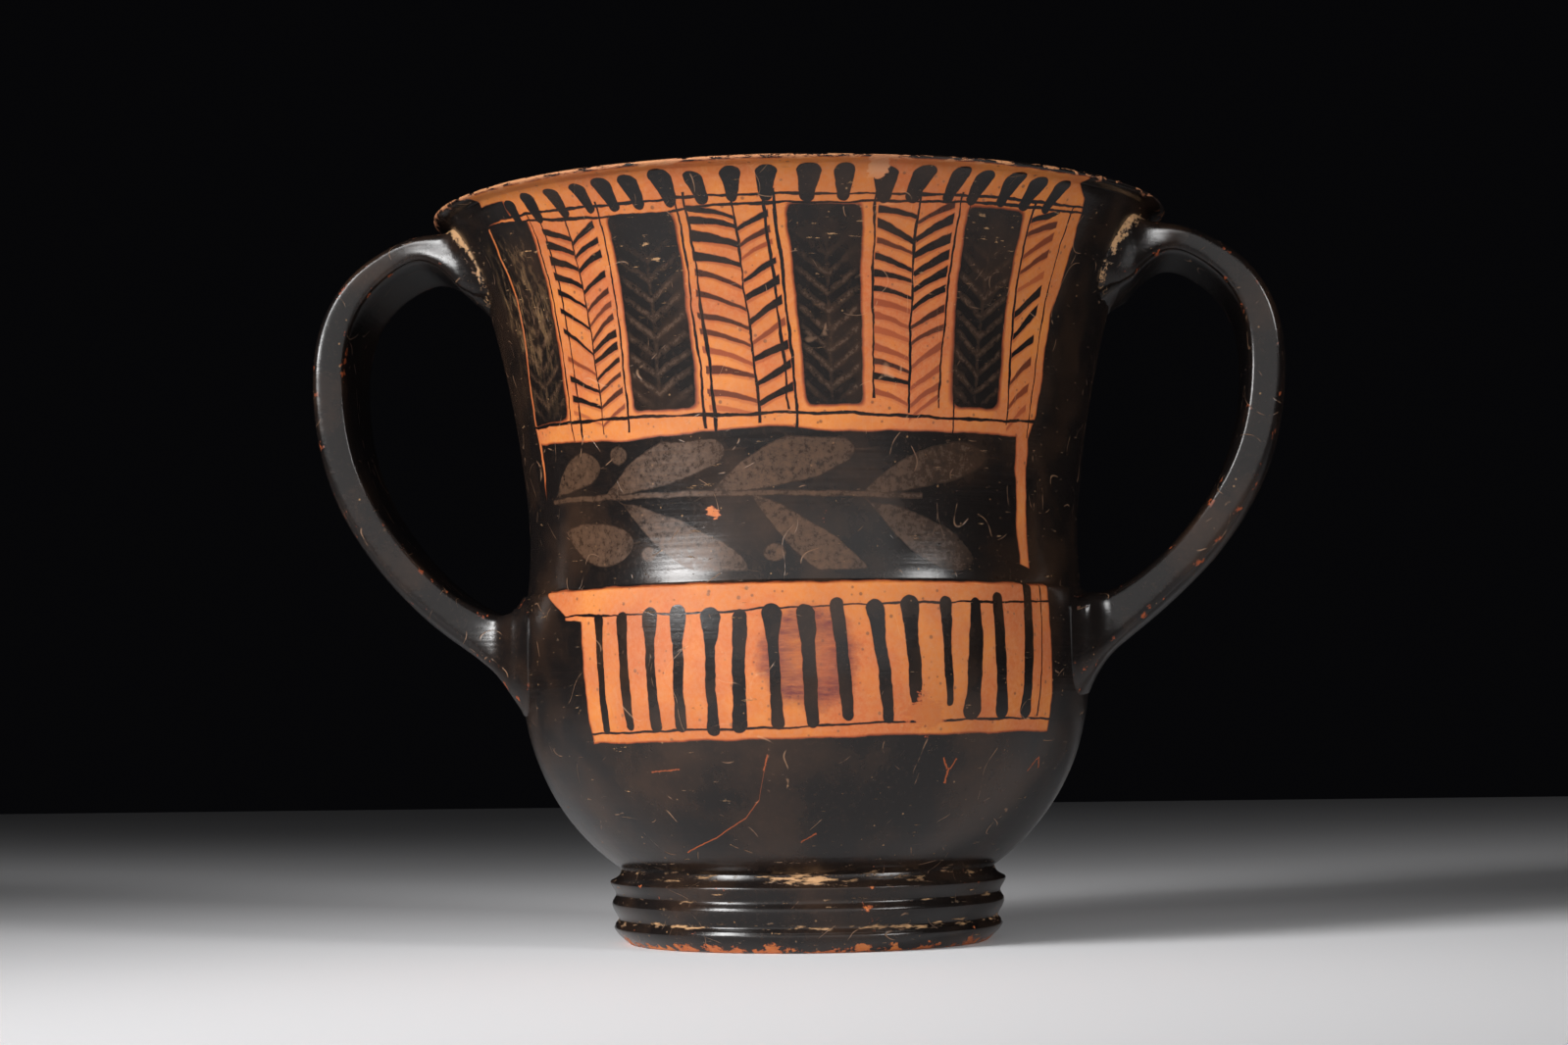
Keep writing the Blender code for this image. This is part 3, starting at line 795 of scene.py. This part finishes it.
# Drops under the rim: turn at the top and at the foot, half the width of the head, and how high they reach
RIM_DROPS = [
    (-48.8, -48.0, 1.3, 127.0), (-43.9, -42.6, 1.45, 127.6), (-38.6, -36.6, 1.4, 127.6),
    (-33.0, -31.2, 1.3, 127.6), (-28.2, -26.6, 1.5, 128.2), (-23.4, -22.2, 1.5, 128.2),
    (-18.0, -16.8, 1.6, 128.8), (-12.9, -11.6, 1.5, 127.6), (-6.6, -6.8, 1.35, 128.3),
    (-1.2, -1.6, 1.45, 128.3), (5.0, 4.8, 1.7, 128.5), (10.4, 10.4, 1.45, 128.5),
    (16.6, 16.8, 1.9, 127.8), (23.0, 21.4, 1.6, 128.5), (28.8, 27.4, 1.35, 128.8),
    (33.2, 31.6, 1.45, 128.4), (38.6, 36.8, 1.4, 128.9), (43.2, 41.6, 1.5, 128.4),
    (48.4, 46.4, 1.45, 128.4),
]
# Drops on the shoulder: turn at the head and at the foot, half the width of head and stem
SHOULDER_DROPS = [
    (-39.4, -38.5, 0.95, 0.8), (-33.3, -32.3, 1.2, 0.95), (-26.9, -26.2, 1.5, 0.95),
    (-20.8, -20.8, 1.5, 0.95), (-14.1, -14.2, 1.8, 0.85), (-8.5, -9.0, 1.35, 1.15),
    (-2.6, -1.6, 1.7, 0.95), (3.7, 4.8, 1.65, 1.2), (9.6, 11.6, 1.15, 1.1), (16.8, 19.4, 1.6, 1.1),
    (23.4, 24.9, 1.75, 1.15), (30.8, 31.9, 1.25, 0.8), (37.7, 36.8, 1.0, 1.5), (43.1, 44.4, 1.1, 1.2),
    (51.7, 51.0, 1.1, 1.2), (56.0, 54.9, 0.2, 0.15),
]
# The same drops: how high and how low they reach, and half the width of the foot
SHOULDER_DROP_ENDS = [
    (57.3, 37.2, 0.8), (57.5, 37.8, 0.7), (58.0, 37.3, 1.1), (58.3, 37.2, 1.1), (57.7, 36.6, 1.2),
    (57.3, 37.0, 1.3), (58.0, 37.6, 1.0), (57.9, 37.7, 1.0), (58.9, 38.8, 1.0), (58.6, 38.2, 0.9),
    (59.2, 40.0, 0.8), (59.3, 41.0, 0.6), (58.8, 38.6, 2.0), (60.0, 38.8, 1.6), (62.0, 38.9, 1.4),
    (62.0, 39.2, 0.2),
]
# The shoulder's band: its sides by height, its foot by turn, and the lines at the drops' heads and feet
SHOULDER_SIDES = [
    (34, -43.0, 59.6), (37, -43.0, 59.6), (56, -44.3, 58.8), (56.4, -49.6, 58.8), (57.2, -49.6, 58.8),
    (60.6, -56.8, 58.6), (63, -58.0, 58.4),
]
SHOULDER_FOOT = [(-45, 35.6), (0, 36.2), (60, 36.8)]
SHOULDER_HEAD_LINE = [(-50, 57.1), (-17, 56.8), (20, 57.9), (60, 58.6)]
SHOULDER_FOOT_LINE = [(-45, 37.2), (0, 37.9), (30, 38.8), (60, 38.9)]
# Laurel leaves: where each one's stretch starts, turn and height of its root, its length and half its width
UPPER_LEAVES = [
    (-70, -55.0, 78.2, 13.5, 2.6), (-43, -37.6, 77.3, 23.0, 3.3), (-15.5, -13.6, 76.9, 23.6, 3.5),
    (10, 15.5, 76.2, 22.5, 3.0),
]
# The leaves under the stem: the same, but with how steeply each one hangs in place of half its width
LOWER_LEAVES = [
    (-70, -51.8, 71.6, 17.0, 0.16), (-31, -34.0, 75.4, 23.0, 0.5), (-7, -6.0, 75.8, 19.0, 0.7),
    (14.5, 16.8, 74.4, 18.6, 0.48),
]
# The stem's height by turn
LAUREL_STEM = [(-62, 77.2), (-13.3, 76.3), (10.9, 76.0), (60, 74.6)]
# Round berries of the spray: turn, height, radius
LAUREL_BERRIES = [(-34.2, 83.6, 1.5), (-28.0, 66.8, 1.2), (-2.0, 66.5, 1.4)]
# Lowest and highest edge of the neck's painted field, and the top of the shoulder's band
NECK_FIELD_FOOT = 64.4
NECK_FIELD_TOP = 130.9
SHOULDER_HEAD = 61.5
# Radius of the wall beside the straps' upper roots, by height
ROOT_WALL = [(40, 70), (104, 70), (105, 53.7), (112, 55.7), (120, 58.5), (127.7, 63.3)]
# Half the turn of the joint between wall and strap, by height
ROOT_JOINT = [(108.0, 71.2), (113.0, 71.8), (121.0, 73.4), (126.5, 77.5)]

# Wear of the foot: height, share of bare clay, share of pale deposit
FOOT_WEAR = [
    (0.0, 0.68, 0.0), (0.8, 0.5, 0.0), (1.6, 0.32, 0.1), (2.1, 0.1, 0.14), (3.0, 0.1, 0.0),
    (3.3, 0.26, 0.0), (3.6, 0.15, 0.1), (4.2, 0.1, 0.44), (4.7, 0.1, 0.34), (5.4, 0.1, 0.05),
    (6.8, 0.1, 0.0), (7.4, 0.15, 0.05), (8.2, 0.1, 0.15), (8.6, 0.1, 0.34), (9.1, 0.1, 0.1),
    (10.3, 0.1, 0.0), (11.0, 0.3, 0.0), (11.5, 0.1, 0.1), (12.2, 0.1, 0.22), (12.9, 0.1, 0.34),
    (13.8, 0.1, 0.1), (17.0, 0.0, 0.0),
]
# The long scratch under the painted shoulder: turn, height
LONG_SCRATCH = [(-28.7, 17.1), (-18.5, 19.7), (-10.1, 23.0), (-6.5, 26.0), (-4.2, 32.7)]
# Chips in the glaze: turn, height, radius
CHIPS = [(-14.4, 73.6, 0.5), (-13.4, 73.0, 0.6), (15.3, 128.0, 1.7)]
# Short cracks and scratches in the glaze: turn and height of the middle, length, slope angle, half the width
SHORT_SCRATCHES = [
    (32.3, 31.6, 2.2, 118, 0.16), (34.3, 31.5, 2.0, 58, 0.14), (33.2, 29.6, 2.6, 84, 0.2),
    (57.6, 31.2, 3.2, 48, 0.12), (59.6, 31.4, 2.2, 126, 0.13), (-4.6, 32.2, 2.8, 72, 0.12),
    (-26.0, 30.9, 5.6, 4, 0.1), (3.8, 19.6, 3.0, 30, 0.1),
]


def starts_between(rows):
    """The same rows, with each one's start in front: halfway from the one before."""
    middles = [0.5 * (row[0] + row[1]) for row in rows]
    starts = [middles[0] - 20.0] + [0.5 * (a + b) for a, b in zip(middles, middles[1:])]
    return [(start, *row) for start, row in zip(starts, rows)]


def paint_rim_drops(tree, turn, reach, span):
    """Row of drops that hang from the lip. Reach is the height, with the lip's flare added."""
    top_turn, foot_turn, half, top = listed(turn, starts_between(RIM_DROPS))
    middle = between(rise(reach, 123.4, 128.6), foot_turn, top_turn)
    width = between(rise(reach, 123.8, 127.0), half * 0.74, half * 1.25)
    sideways = (turn - middle) * span
    above = larger(reach - top + half, 0.0)
    below = larger(123.6 - reach, 0.0)
    return [inside(length_of(sideways, above, below) - width)]


def paint_strokes(tree, turn, height, span):
    """Herringbone strokes beside the middle lines."""
    middle, side, half = listed(turn, COLUMNS)
    slope = listed(turn, COLUMN_SLOPES)[0]
    out = (turn - middle) * span * side - half
    level = height - out * slope
    chosen = None
    for start, rows in STROKES.items():
        levels = [rows[0][0] - 3.0] + [0.5 * (a[0] + b[0]) for a, b in zip(rows, rows[1:])]
        found = listed(level, [(low, *row) for low, row in zip(levels, rows)])
        if chosen:
            later = over(turn, start)
            found = [between(later, *pair) for pair in zip(chosen, found)]
        chosen = found
    stroke_height, stroke_slope, thick, strength = chosen
    drawn = stroke_height + out * stroke_slope - out * out * 0.018
    share = rise(out, -3.0, 3.0)
    distance = size_of(height - drawn) * 0.88 - thick * between(share, 0.72, 1.3) - 0.04
    ends = size_of(out) - half + 0.1
    thin = inside(larger(size_of(height - drawn + 0.4) * 0.88 - thick * 1.1, ends), 0.3) * 0.34
    mark = larger(inside(larger(distance, ends), 0.22) * strength, thin * strength)
    return [mark * over(turn, -60.0) * over(54.0 - turn, 0.0) * over(middle, 0.5 * NO_COLUMN)]


def paint_panels(tree, turn, height, span):
    """Black panels of the neck and the faded white herringbone on them."""
    left, right, top = listed(turn, PANELS)
    middle = larger(left, -58.5) * 0.5 + right * 0.5
    across = larger(left - turn, turn - right) * span
    upright = larger(height - top, 90.3 - height)
    box = reckon(tree, "SMOOTH_MAX", across, upright, 2.2)
    stem = (turn - middle) * span
    out = size_of(stem)
    row = (height - out * 0.75) / 3.05
    wave = size_of(reckon(tree, "FRACT", row) - 0.5) * 3.05 - 0.5
    white = larger(inside(wave, 0.7) * inside(out - 5.0, 1.4), inside(out - 0.28, 0.4) * 0.6)
    faded = rise(height, 118.5, 110.0) * rise(height, 90.5, 94.0)
    return [inside(box, 0.8), white * faded * inside(across + 0.4, 0.6)]


def paint_uprights(tree, turn, height, span, wander):
    """Thin upright lines between the panels."""
    line, half, foot = listed(turn, UPRIGHTS)
    distance = size_of(turn - line) * span - half * wander
    return [inside(larger(distance, larger(foot - height, height - 124.4)), 0.14)]


def paint_leaf(turn, height, span, turn_root, height_root, leaf_length, half, slope):
    """One laurel leaf, narrow at its root, full past its middle and pointed."""
    along = (turn - turn_root) * span
    share = along / leaf_length
    bow = (share - share * share) * 5.0
    off = size_of(height - height_root - along * slope - bow)
    body = reckon(turn.tree, "POWER", larger(share, 0.0), 0.85) * 2.67
    tip = reckon(turn.tree, "POWER", larger(1.0 - share, 0.0), 0.6)
    return larger(off * 0.93 - half * body * tip, larger(-1.0 * share, share - 1.0))


def paint_laurel(tree, turn, height, span):
    """Faded white laurel spray, with a row of leaves over its stem and one under it."""
    upper = listed(turn - (height - 78.0) * 1.5, UPPER_LEAVES)
    lower = listed(turn + (height - 70.0), LOWER_LEAVES)
    over_stem = paint_leaf(turn, height, span, *upper, 0.27)
    under_stem = paint_leaf(turn, -1.0 * height, span, lower[0], -1.0 * lower[1], lower[2], 3.3, lower[3])
    stem = larger(size_of(height - course(turn, LAUREL_STEM)) - 0.4, turn - 27.0)
    berries = [length_of((turn - middle) * span * 0.8, height - level) - radius
               for middle, level, radius in LAUREL_BERRIES]
    marks = reduce(smaller, [over_stem, under_stem, stem, *berries])
    held = larger(larger(-57.0 - turn, turn - 46.0) * span, larger(63.6 - height, height - 85.2))
    return [inside(larger(marks, held), 0.35)]


def paint_shoulder(tree, turn, height, span, wander):
    """Drops on the shoulder, and the thin lines along their heads and feet."""
    rows = starts_between(SHOULDER_DROPS)
    head_turn, foot_turn, head, stem = listed(turn, rows)
    top, bottom, foot = listed(turn, [(row[0], *ends) for row, ends in zip(rows, SHOULDER_DROP_ENDS)])
    middle = between(rise(height, 38.0, 57.5), foot_turn, head_turn)
    width = between(rise(height - top, -6.5, -1.6), stem, head)
    width = between(rise(height - bottom, 5.0, 0.6), width, foot)
    above = larger(height - top + head, 0.0)
    below = larger(bottom - height + foot, 0.0)
    drop = length_of((turn - middle) * span, above, below) - width
    lines = [size_of(height - course(turn, line)) for line in (SHOULDER_HEAD_LINE, SHOULDER_FOOT_LINE)]
    return [larger(inside(drop), inside(smaller(*lines) - 0.17 * wander, 0.14))]


def paint_nicks(turn, height, span, patchy, fine):
    """Chips and scratches that go through the glaze."""
    scratch = size_of(height - course(turn, LONG_SCRATCH) + patchy * 0.5) - 0.1
    scratch = inside(larger(scratch, larger(-28.7 - turn, turn + 4.6)), 0.12)
    for middle, level, length, slope, half in SHORT_SCRATCHES:
        along, up = math.cos(math.radians(slope)), math.sin(math.radians(slope))
        sideways, upright = (turn - middle) * span, height - level
        off = size_of(sideways * up - upright * along + patchy * 1.3) - half
        ends = size_of(sideways * along + upright * up) - 0.5 * length
        scratch = larger(scratch, inside(larger(off, ends), 0.12))
    chips = reduce(smaller, [length_of((turn - middle) * span, (height - level) * 0.7) - radius
                             for middle, level, radius in CHIPS])
    return larger(inside(chips + patchy * 3.0 + fine * 2.6, 0.2), scratch * 0.6)


def paint_crust(turn, height, span, patchy, fine, deposit):
    """Pale deposit in the foot's grooves and beside the straps' upper roots."""
    crusted = deposit + inside(length_of((turn - 2.5) * span * 0.2, height - 12.3) - 0.8, 1.0) * 0.6
    from_joint = size_of((size_of(turn) - course(height, ROOT_JOINT)) * span)
    beside_root = inside(from_joint - 0.4, 1.4) * rise(height, 109.0, 113.0) * rise(height, 128.0, 126.5)
    beside_root = beside_root * (rise(height, 119.0, 124.0) * 0.3 + 0.32)
    return rise(patchy * 0.6 + fine * 3.0 + larger(crusted, beside_root), 0.5, 0.72)


def paint_wear(tree, turn, height, span):
    """Marks of age: bare clay, deposits, the misfired spot, a rubbed patch and dusty streaks."""
    patchy = noise(tree, 3.4, 5.0, 0.68, shift=0.53)[1] - 0.5
    fine = noise(tree, 1.2, 5.0, 0.7, stretch=(0.3, 0.3, 1.7), shift=0.19)[1] - 0.5
    kept = between(rise(turn, -20.0, 62.0), 0.62, 0.26)
    lip = rise(height + fine * 2.4 + patchy * 1.2, 128.5, 128.9)
    lip = lip * rise(patchy * 1.6 + fine * 3.0 + kept, 0.47, 0.58)
    bare, deposit = listed(height, FOOT_WEAR, stepped=False)
    foot = rise(patchy * 2.2 + bare, 0.5, 0.62)
    crust = paint_crust(turn, height, span, patchy, fine, deposit)
    nicks = paint_nicks(turn, height, span, patchy, fine)
    spot = length_of((turn - 4.3) * span, height - 49.3)
    misfire = rise(spot + patchy * 5.0, 9.2, 6.8) * (rise(spot + patchy * 6.0, 2.0, 6.5) * 0.4 + 0.6)
    misfire = misfire * (rise(fine, 0.16, -0.1) * 0.5 + 0.5)
    rubbed = length_of((turn - 26.6) * span * 0.8, (height - 39.8) * 0.8) - 2.4
    rubbed = inside(rubbed + patchy * 6.0 + fine * 5.0, 0.8)
    streaks = noise(tree, 1.5, 4.0, 0.7, stretch=(1.0, 1.0, 0.22), shift=0.29)[1]
    dust = rise(streaks, 0.5, 0.68) * rise(turn, -44.0, -52.0) * rise(turn, -66.0, -60.0)
    dust = dust * rise(height, 90.0, 108.0) * rise(height, 124.0, 112.0)
    return [larger(lip, larger(foot, nicks)), crust, misfire, rubbed, dust]


def find_place(tree):
    """Where a point lies: true turn, turn and height as drawn by hand on the nearer side, and more."""
    x, y, z = [part * (1.0 / MM) for part in parted(tree, object_place(tree), "XYZ")]
    turn = reckon(tree, "ARCTAN2", x, 0.0 - y) * math.degrees(1.0)
    radius = length_of(x, y)
    span = radius * math.radians(1.0)
    behind = over(size_of(turn), 90.0)
    side_turn = turn + behind * (reckon(tree, "SIGN", turn) * 180.0 - turn * 2.0)
    wobble = noise(tree, 5.0, 3.0, 0.55)
    drawn_turn = side_turn + (wobble[1] - 0.5) * 1.1 / span
    drawn_height = z + (wobble[2] - 0.5) * 1.0
    wander = rise(wobble[3], 0.3, 0.62) * 0.9 + 0.55
    return [turn, drawn_turn, drawn_height, z, radius, span, wander]


def wear_marks(tree):
    """Hair scratches, pale specks, dark pits, soft blotches, grain, and lines left by the wheel."""
    lines = noise(tree, 16.0, 1.0, 0.4)
    gate = noise(tree, 6.0, 3.0, 0.6, shift=0.37)
    scratches = [rise(size_of(line - 0.5), 0.0026, 0.0006) * rise(part, 0.56, 0.62)
                 for line, part in zip(lines[1:], gate[1:])]
    specks, pits = dots(tree, 1.7, 0.19, 0.4), dots(tree, 1.25, 0.34, 0.5)
    blotches = noise(tree, 14.0, 4.0, 0.55, shift=0.11)
    grain = noise(tree, 0.7, 3.0, 0.6)[0]
    wheel = noise(tree, 4.0, 2.0, 0.6, stretch=(0.1, 0.1, 2.4), shift=0.83)[0]
    return [reduce(larger, scratches), specks, pits, blotches[1], blotches[2], grain, wheel]


def new_material(name):
    material = bpy.data.materials.new(name)
    material.use_nodes = True
    shader = material.node_tree.nodes["Principled BSDF"]
    shader.inputs["Specular IOR Level"].default_value = 0.32
    return material, material.node_tree, shader


def coat(tree, shader, colour, rough, relief, depth):
    """Gives the shader its colour and roughness, and raises the surface by relief times depth millimetres."""
    put(tree, shader.inputs["Base Color"], colour)
    put(tree, shader.inputs["Roughness"], rough)
    bump = tree.nodes.new("ShaderNodeBump")
    bump.inputs["Distance"].default_value = depth * MM
    put(tree, bump.inputs["Height"], relief)
    tree.links.new(bump.outputs[0], shader.inputs["Normal"])


def clay_and_glaze(tree, ink):
    """Colour of clay under glaze of a given strength, with its blotches, wear and roughness."""
    scratches, specks, pits, blotches, patches, grain, wheel = placed(tree, GROUPS["wear"])
    clay = tinted(rise(blotches, 0.42, 0.62), CLAY_LIGHT, CLAY_ROSY)
    clay = tinted(rise(patches + grain * 0.4, 0.62, 0.9) * 0.5, clay, CLAY_DARK)
    clay = tinted(pits * 0.75, clay, PIT_BROWN)
    clay = tinted(rise(grain, 0.35, 0.8) * 0.3, clay, CLAY_PALE)
    glaze = tinted(rise(patches, 0.45, 0.68), GLAZE_BLACK, GLAZE_BROWN)
    glaze = tinted(rise(grain, 0.55, 0.8) * 0.14, glaze, FADED_WHITE)
    colour = tinted(rise(ink, 0.05, 0.5), clay, THIN_GLAZE)
    colour = tinted(rise(ink, 0.45, 0.85), colour, glaze)
    colour = tinted(scratches * 0.32, colour, CLAY_PALE)
    colour = tinted(specks * 0.4, colour, DEPOSIT)
    rough = between(rise(ink, 0.4, 0.9), 0.55, 0.16) + scratches * 0.2 + grain * 0.1
    relief = grain * 0.22 - scratches * 0.5 + blotches * 1.2 + wheel * 0.7
    return [colour, rough, relief]


# The shared effects: short name, node group, what it takes and gives, and the function that builds it
EFFECTS = [
    ("place", "place_on_cup", "", "Turn, Drawn Turn, Drawn Height, Height, Radius, Span, Wander", find_place),
    ("wear", "wear", "", "Scratches, Specks, Pits, Blotches, Patches, Grain, Wheel", wear_marks),
    ("marks", "marks_of_age", "Turn, Height, Span", "Bare, Crust, Misfire, Rubbed, Dust", paint_wear),
    ("surface", "clay_and_glaze", "Ink", "Base Colour, Roughness, Relief", clay_and_glaze),
    ("rim", "rim_drops", "Turn, Reach, Span", "Ink", paint_rim_drops),
    ("strokes", "herringbone_strokes", "Turn, Height, Span", "Ink", paint_strokes),
    ("panels", "neck_panels", "Turn, Height, Span", "Ink, White", paint_panels),
    ("uprights", "upright_lines", "Turn, Height, Span, Wander", "Ink", paint_uprights),
    ("laurel", "laurel_spray", "Turn, Height, Span", "White", paint_laurel),
    ("shoulder", "shoulder_drops", "Turn, Height, Span, Wander", "Ink", paint_shoulder),
]
GROUPS = {}


def make_groups():
    """The shared effects, each built once."""
    for key, name, takes, gives, work in EFFECTS:
        GROUPS[key] = new_group(name, takes.split(", ") if takes else [], gives.split(", "), work)


def bare_fields(drawn, height, reach, span):
    """Distances to the neck's sides, and to the neck's and the shoulder's fields of clay, negative inside."""
    left, right = listed(height, NECK_SIDES, stepped=False)
    sides = larger(left - drawn, drawn - right) * span
    left_strip, right_strip = listed(height, STRIP_WIDTHS, stepped=False)
    strip = between(over(drawn, 0.0), left_strip, right_strip)
    under = course(drawn, LAUREL_TOP) - height
    neck = smaller(larger(sides, under), larger(sides, -1.0 * sides - strip))
    neck = larger(neck, larger(reach - NECK_FIELD_TOP, NECK_FIELD_FOOT - height))
    left, right = listed(height, SHOULDER_SIDES, stepped=False)
    band = larger(larger(left - drawn, drawn - right) * span,
                  larger(height - SHOULDER_HEAD, course(drawn, SHOULDER_FOOT) - height))
    return sides, neck, band


def painted_ink(tree, drawn, height, radius, span, wander):
    """Strength of the glaze, the ground round the ornament, the panels, and the white drawn on them."""
    reach = height + larger(radius - 62.2, 0.0) * 0.75
    sides, neck, band = bare_fields(drawn, height, reach, span)
    ground = inside(-1.0 * smaller(neck, band), 0.6)
    straight = drawn - course(drawn, LEANS) * rise(height, 122.0, 90.0)
    panel, white = placed(tree, GROUPS["panels"], straight, height, span)
    strokes = placed(tree, GROUPS["strokes"], straight, height, span)[0]
    uprights = placed(tree, GROUPS["uprights"], straight, height, span, wander)[0]
    drops = placed(tree, GROUPS["rim"], drawn, reach, span)[0]
    band_drops = placed(tree, GROUPS["shoulder"], drawn, height, span, wander)[0]
    floor_line = inside(size_of(height - course(drawn, PANEL_FLOOR_LINE)) - 0.24 * wander, 0.14)
    upper, lower = listed(drawn, UNDER_RIM_LINES, stepped=False)
    rim_lines = inside(smaller(size_of(height - upper), size_of(height - lower)) - 0.2 * wander, 0.14)
    panel = panel * rise(-1.0 * sides, 0.4, 0.6) * rise(lower - height, -0.3, -0.1)
    corner = rise(drawn, -49.0, -50.0) * rise(reach, 127.6, 127.3) * rise(height, 124.2, 124.5)
    on_neck = reduce(larger, [panel, strokes, uprights, floor_line, rim_lines]) * rise(height, 86.0, 86.1)
    on_shoulder = band_drops * rise(height, 63.0, 62.0)
    return reduce(larger, [on_neck, drops, corner, ground, on_shoulder]), ground, panel, white


def painted_glaze():
    """The cup's outer side: clay bands with painted ornament between black glaze."""
    material, tree, shader = new_material("painted_glaze")
    turn, drawn, drawn_height, height, radius, span, wander = placed(tree, GROUPS["place"])
    ink, ground, panel, herring = painted_ink(tree, drawn, drawn_height, radius, span, wander)
    bare, crust, misfire, rubbed, dust = placed(tree, GROUPS["marks"], turn, height, span)
    ink = ink * (1.0 - bare * 0.97) * (1.0 - rubbed)
    colour, rough, relief = placed(tree, GROUPS["surface"], ink)
    colour = tinted(bare * rise(height, 125.0, 127.0) * 0.5, colour, CLAY_PALE)
    colour = tinted(rubbed * 0.4, colour, CLAY_DARK)
    colour = tinted(dust * 0.4, colour, DEPOSIT)
    colour = tinted(misfire * rise(ink, 0.6, 0.2), colour, MISFIRE)
    clouds = noise(tree, 1.1, 5.0, 0.75, shift=0.71)
    threads = noise(tree, 1.5, 3.0, 0.6, stretch=(0.4, 0.4, 2.6), shift=0.97)
    scuffs = rise(threads[1] + clouds[3] * 0.5, 0.93, 0.97) * rise(height, 104.0, 113.0)
    colour = tinted(scuffs * rise(height, 124.0, 120.0) * panel * 0.7, colour, DEPOSIT)
    leaves = placed(tree, GROUPS["laurel"], drawn, drawn_height, span)[0]
    leaves = leaves * (rise(drawn, 30.0, 14.0) * 0.5 + 0.5) * rise(clouds[2], 0.3, 0.62) * 0.8
    white = larger(herring * rise(clouds[1], 0.36, 0.62) * 0.6, leaves)
    colour = tinted(white * larger(ground, panel) * 0.9, colour, FADED_WHITE)
    rough = rough + larger(white * 0.2, crust * 0.4)
    coat(tree, shader, tinted(crust, colour, DEPOSIT), rough, relief + crust * 2.0, 0.06)
    return material


def underside_clay():
    """Bare clay under the foot, dusty and rubbed on its resting ring."""
    material, tree, shader = new_material("underside_clay")
    radius = placed(tree, GROUPS["place"])[4]
    clouds = noise(tree, 2.5, 3.0, 0.6)[1]
    washed = rise(clouds + rise(radius, 27.0, 20.0) * 0.25, 0.62, 0.74) * 0.45
    colour, rough, relief = placed(tree, GROUPS["surface"], washed)
    coat(tree, shader, tinted(rise(clouds, 0.3, 0.7) * 0.35, colour, DEPOSIT), rough + 0.12, relief, 0.08)
    return material


def inside_glaze():
    """Plain black glaze inside the cup."""
    material, tree, shader = new_material("inside_glaze")
    wander = placed(tree, GROUPS["place"])[6]
    colour, rough, relief = placed(tree, GROUPS["surface"], rise(wander, 0.4, 0.6) * 0.1 + 0.9)
    coat(tree, shader, colour, rough, relief, 0.06)
    return material


def strap_glaze():
    """Black glaze of the handles, worn along their edges."""
    material, tree, shader = new_material("strap_glaze")
    note = tree.nodes.new("ShaderNodeAttribute")
    note.attribute_name = "strap_place"
    across, through = [size_of(part) for part in parted(tree, note.outputs["Vector"], "XYZ")[1:]]
    clouds = noise(tree, 3.0, 4.0, 0.65, shift=0.23)
    corner = rise(across, 0.9, 0.985) * rise(through, 0.6, 0.95)
    worn = corner * rise(clouds[1], 0.6, 0.63)
    colour, rough, relief = placed(tree, GROUPS["surface"], 1.0 - worn * 0.9)
    height, radius = placed(tree, GROUPS["place"])[3:5]
    from_wall = radius - course(height, ROOT_WALL)
    speckle = noise(tree, 1.2, 4.0, 0.7, shift=0.47)[1]
    crust = rise(from_wall, 2.2, 0.2) * rise(across, 0.5, 0.8) * rise(from_wall, -6.0, -5.0)
    crust = crust * rise(height, 106.0, 109.0) * (rise(height, 117.0, 123.0) * 0.14 + 0.26)
    crust = rise(crust + speckle, 0.76, 0.88)
    coat(tree, shader, tinted(crust, colour, DEPOSIT), rough + crust * 0.4, relief + crust, 0.06)
    return material


# Light, floor and camera

def soft_lamp(name, place, aim, size, power, spread):
    """A soft lamp at place, facing the point that it aims at."""
    bpy.ops.object.light_add(type="AREA", location=Vector(place) * MM)
    lamp = bpy.context.active_object
    lamp.name = name
    lamp.data.shape = "RECTANGLE"
    lamp.data.size = size[0] * MM
    lamp.data.size_y = size[1] * MM
    lamp.data.energy = power
    lamp.data.spread = math.radians(spread)
    lamp.rotation_euler = (Vector(aim) - Vector(place)).to_track_quat("-Z", "Y").to_euler()


def plain_stage():
    """Plain pale floor, soft studio light and the camera."""
    bpy.ops.object.select_all(action="DESELECT")
    bpy.ops.mesh.primitive_plane_add(size=FLOOR_WIDTH * MM, location=(0.0, 0.0, 0.0))
    floor = bpy.context.active_object
    floor.name = "floor"
    paper = bpy.data.materials.new("floor_paper")
    paper.use_nodes = True
    shader = paper.node_tree.nodes["Principled BSDF"]
    shader.inputs["Base Color"].default_value = PALE_PAPER
    shader.inputs["Roughness"].default_value = 0.7
    floor.data.materials.append(paper)
    world = bpy.context.scene.world or bpy.data.worlds.new("studio")
    bpy.context.scene.world = world
    world.use_nodes = True
    world.node_tree.nodes["Background"].inputs["Color"].default_value = DIM_ROOM
    world.node_tree.nodes["Background"].inputs["Strength"].default_value = 1.0
    bpy.context.scene.view_settings.view_transform = "Standard"
    for lamp in LAMPS:
        soft_lamp(*lamp)
    bpy.ops.object.camera_add(location=Vector(CAMERA_PLACE) * MM)
    camera = bpy.context.active_object
    camera.name = "camera"
    camera.rotation_euler = [math.radians(turn) for turn in CAMERA_TURN]
    camera.data.lens = CAMERA_LENS
    camera.data.sensor_width = 36.0
    camera.data.clip_start = 0.01
    bpy.context.scene.camera = camera


plain_stage()
make_groups()
cup = make_cup()
right_strap = make_strap("right_handle", RIGHT_HANDLE)
left_strap = make_strap("left_handle", LEFT_HANDLE)
for finish in (painted_glaze(), inside_glaze(), underside_clay()):
    cup.data.materials.append(finish)
give_sides(cup)
handle_finish = strap_glaze()
right_strap.data.materials.append(handle_finish)
left_strap.data.materials.append(handle_finish)
for piece in (cup, right_strap, left_strap):
    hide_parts("kantharos")
    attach(piece, "root")
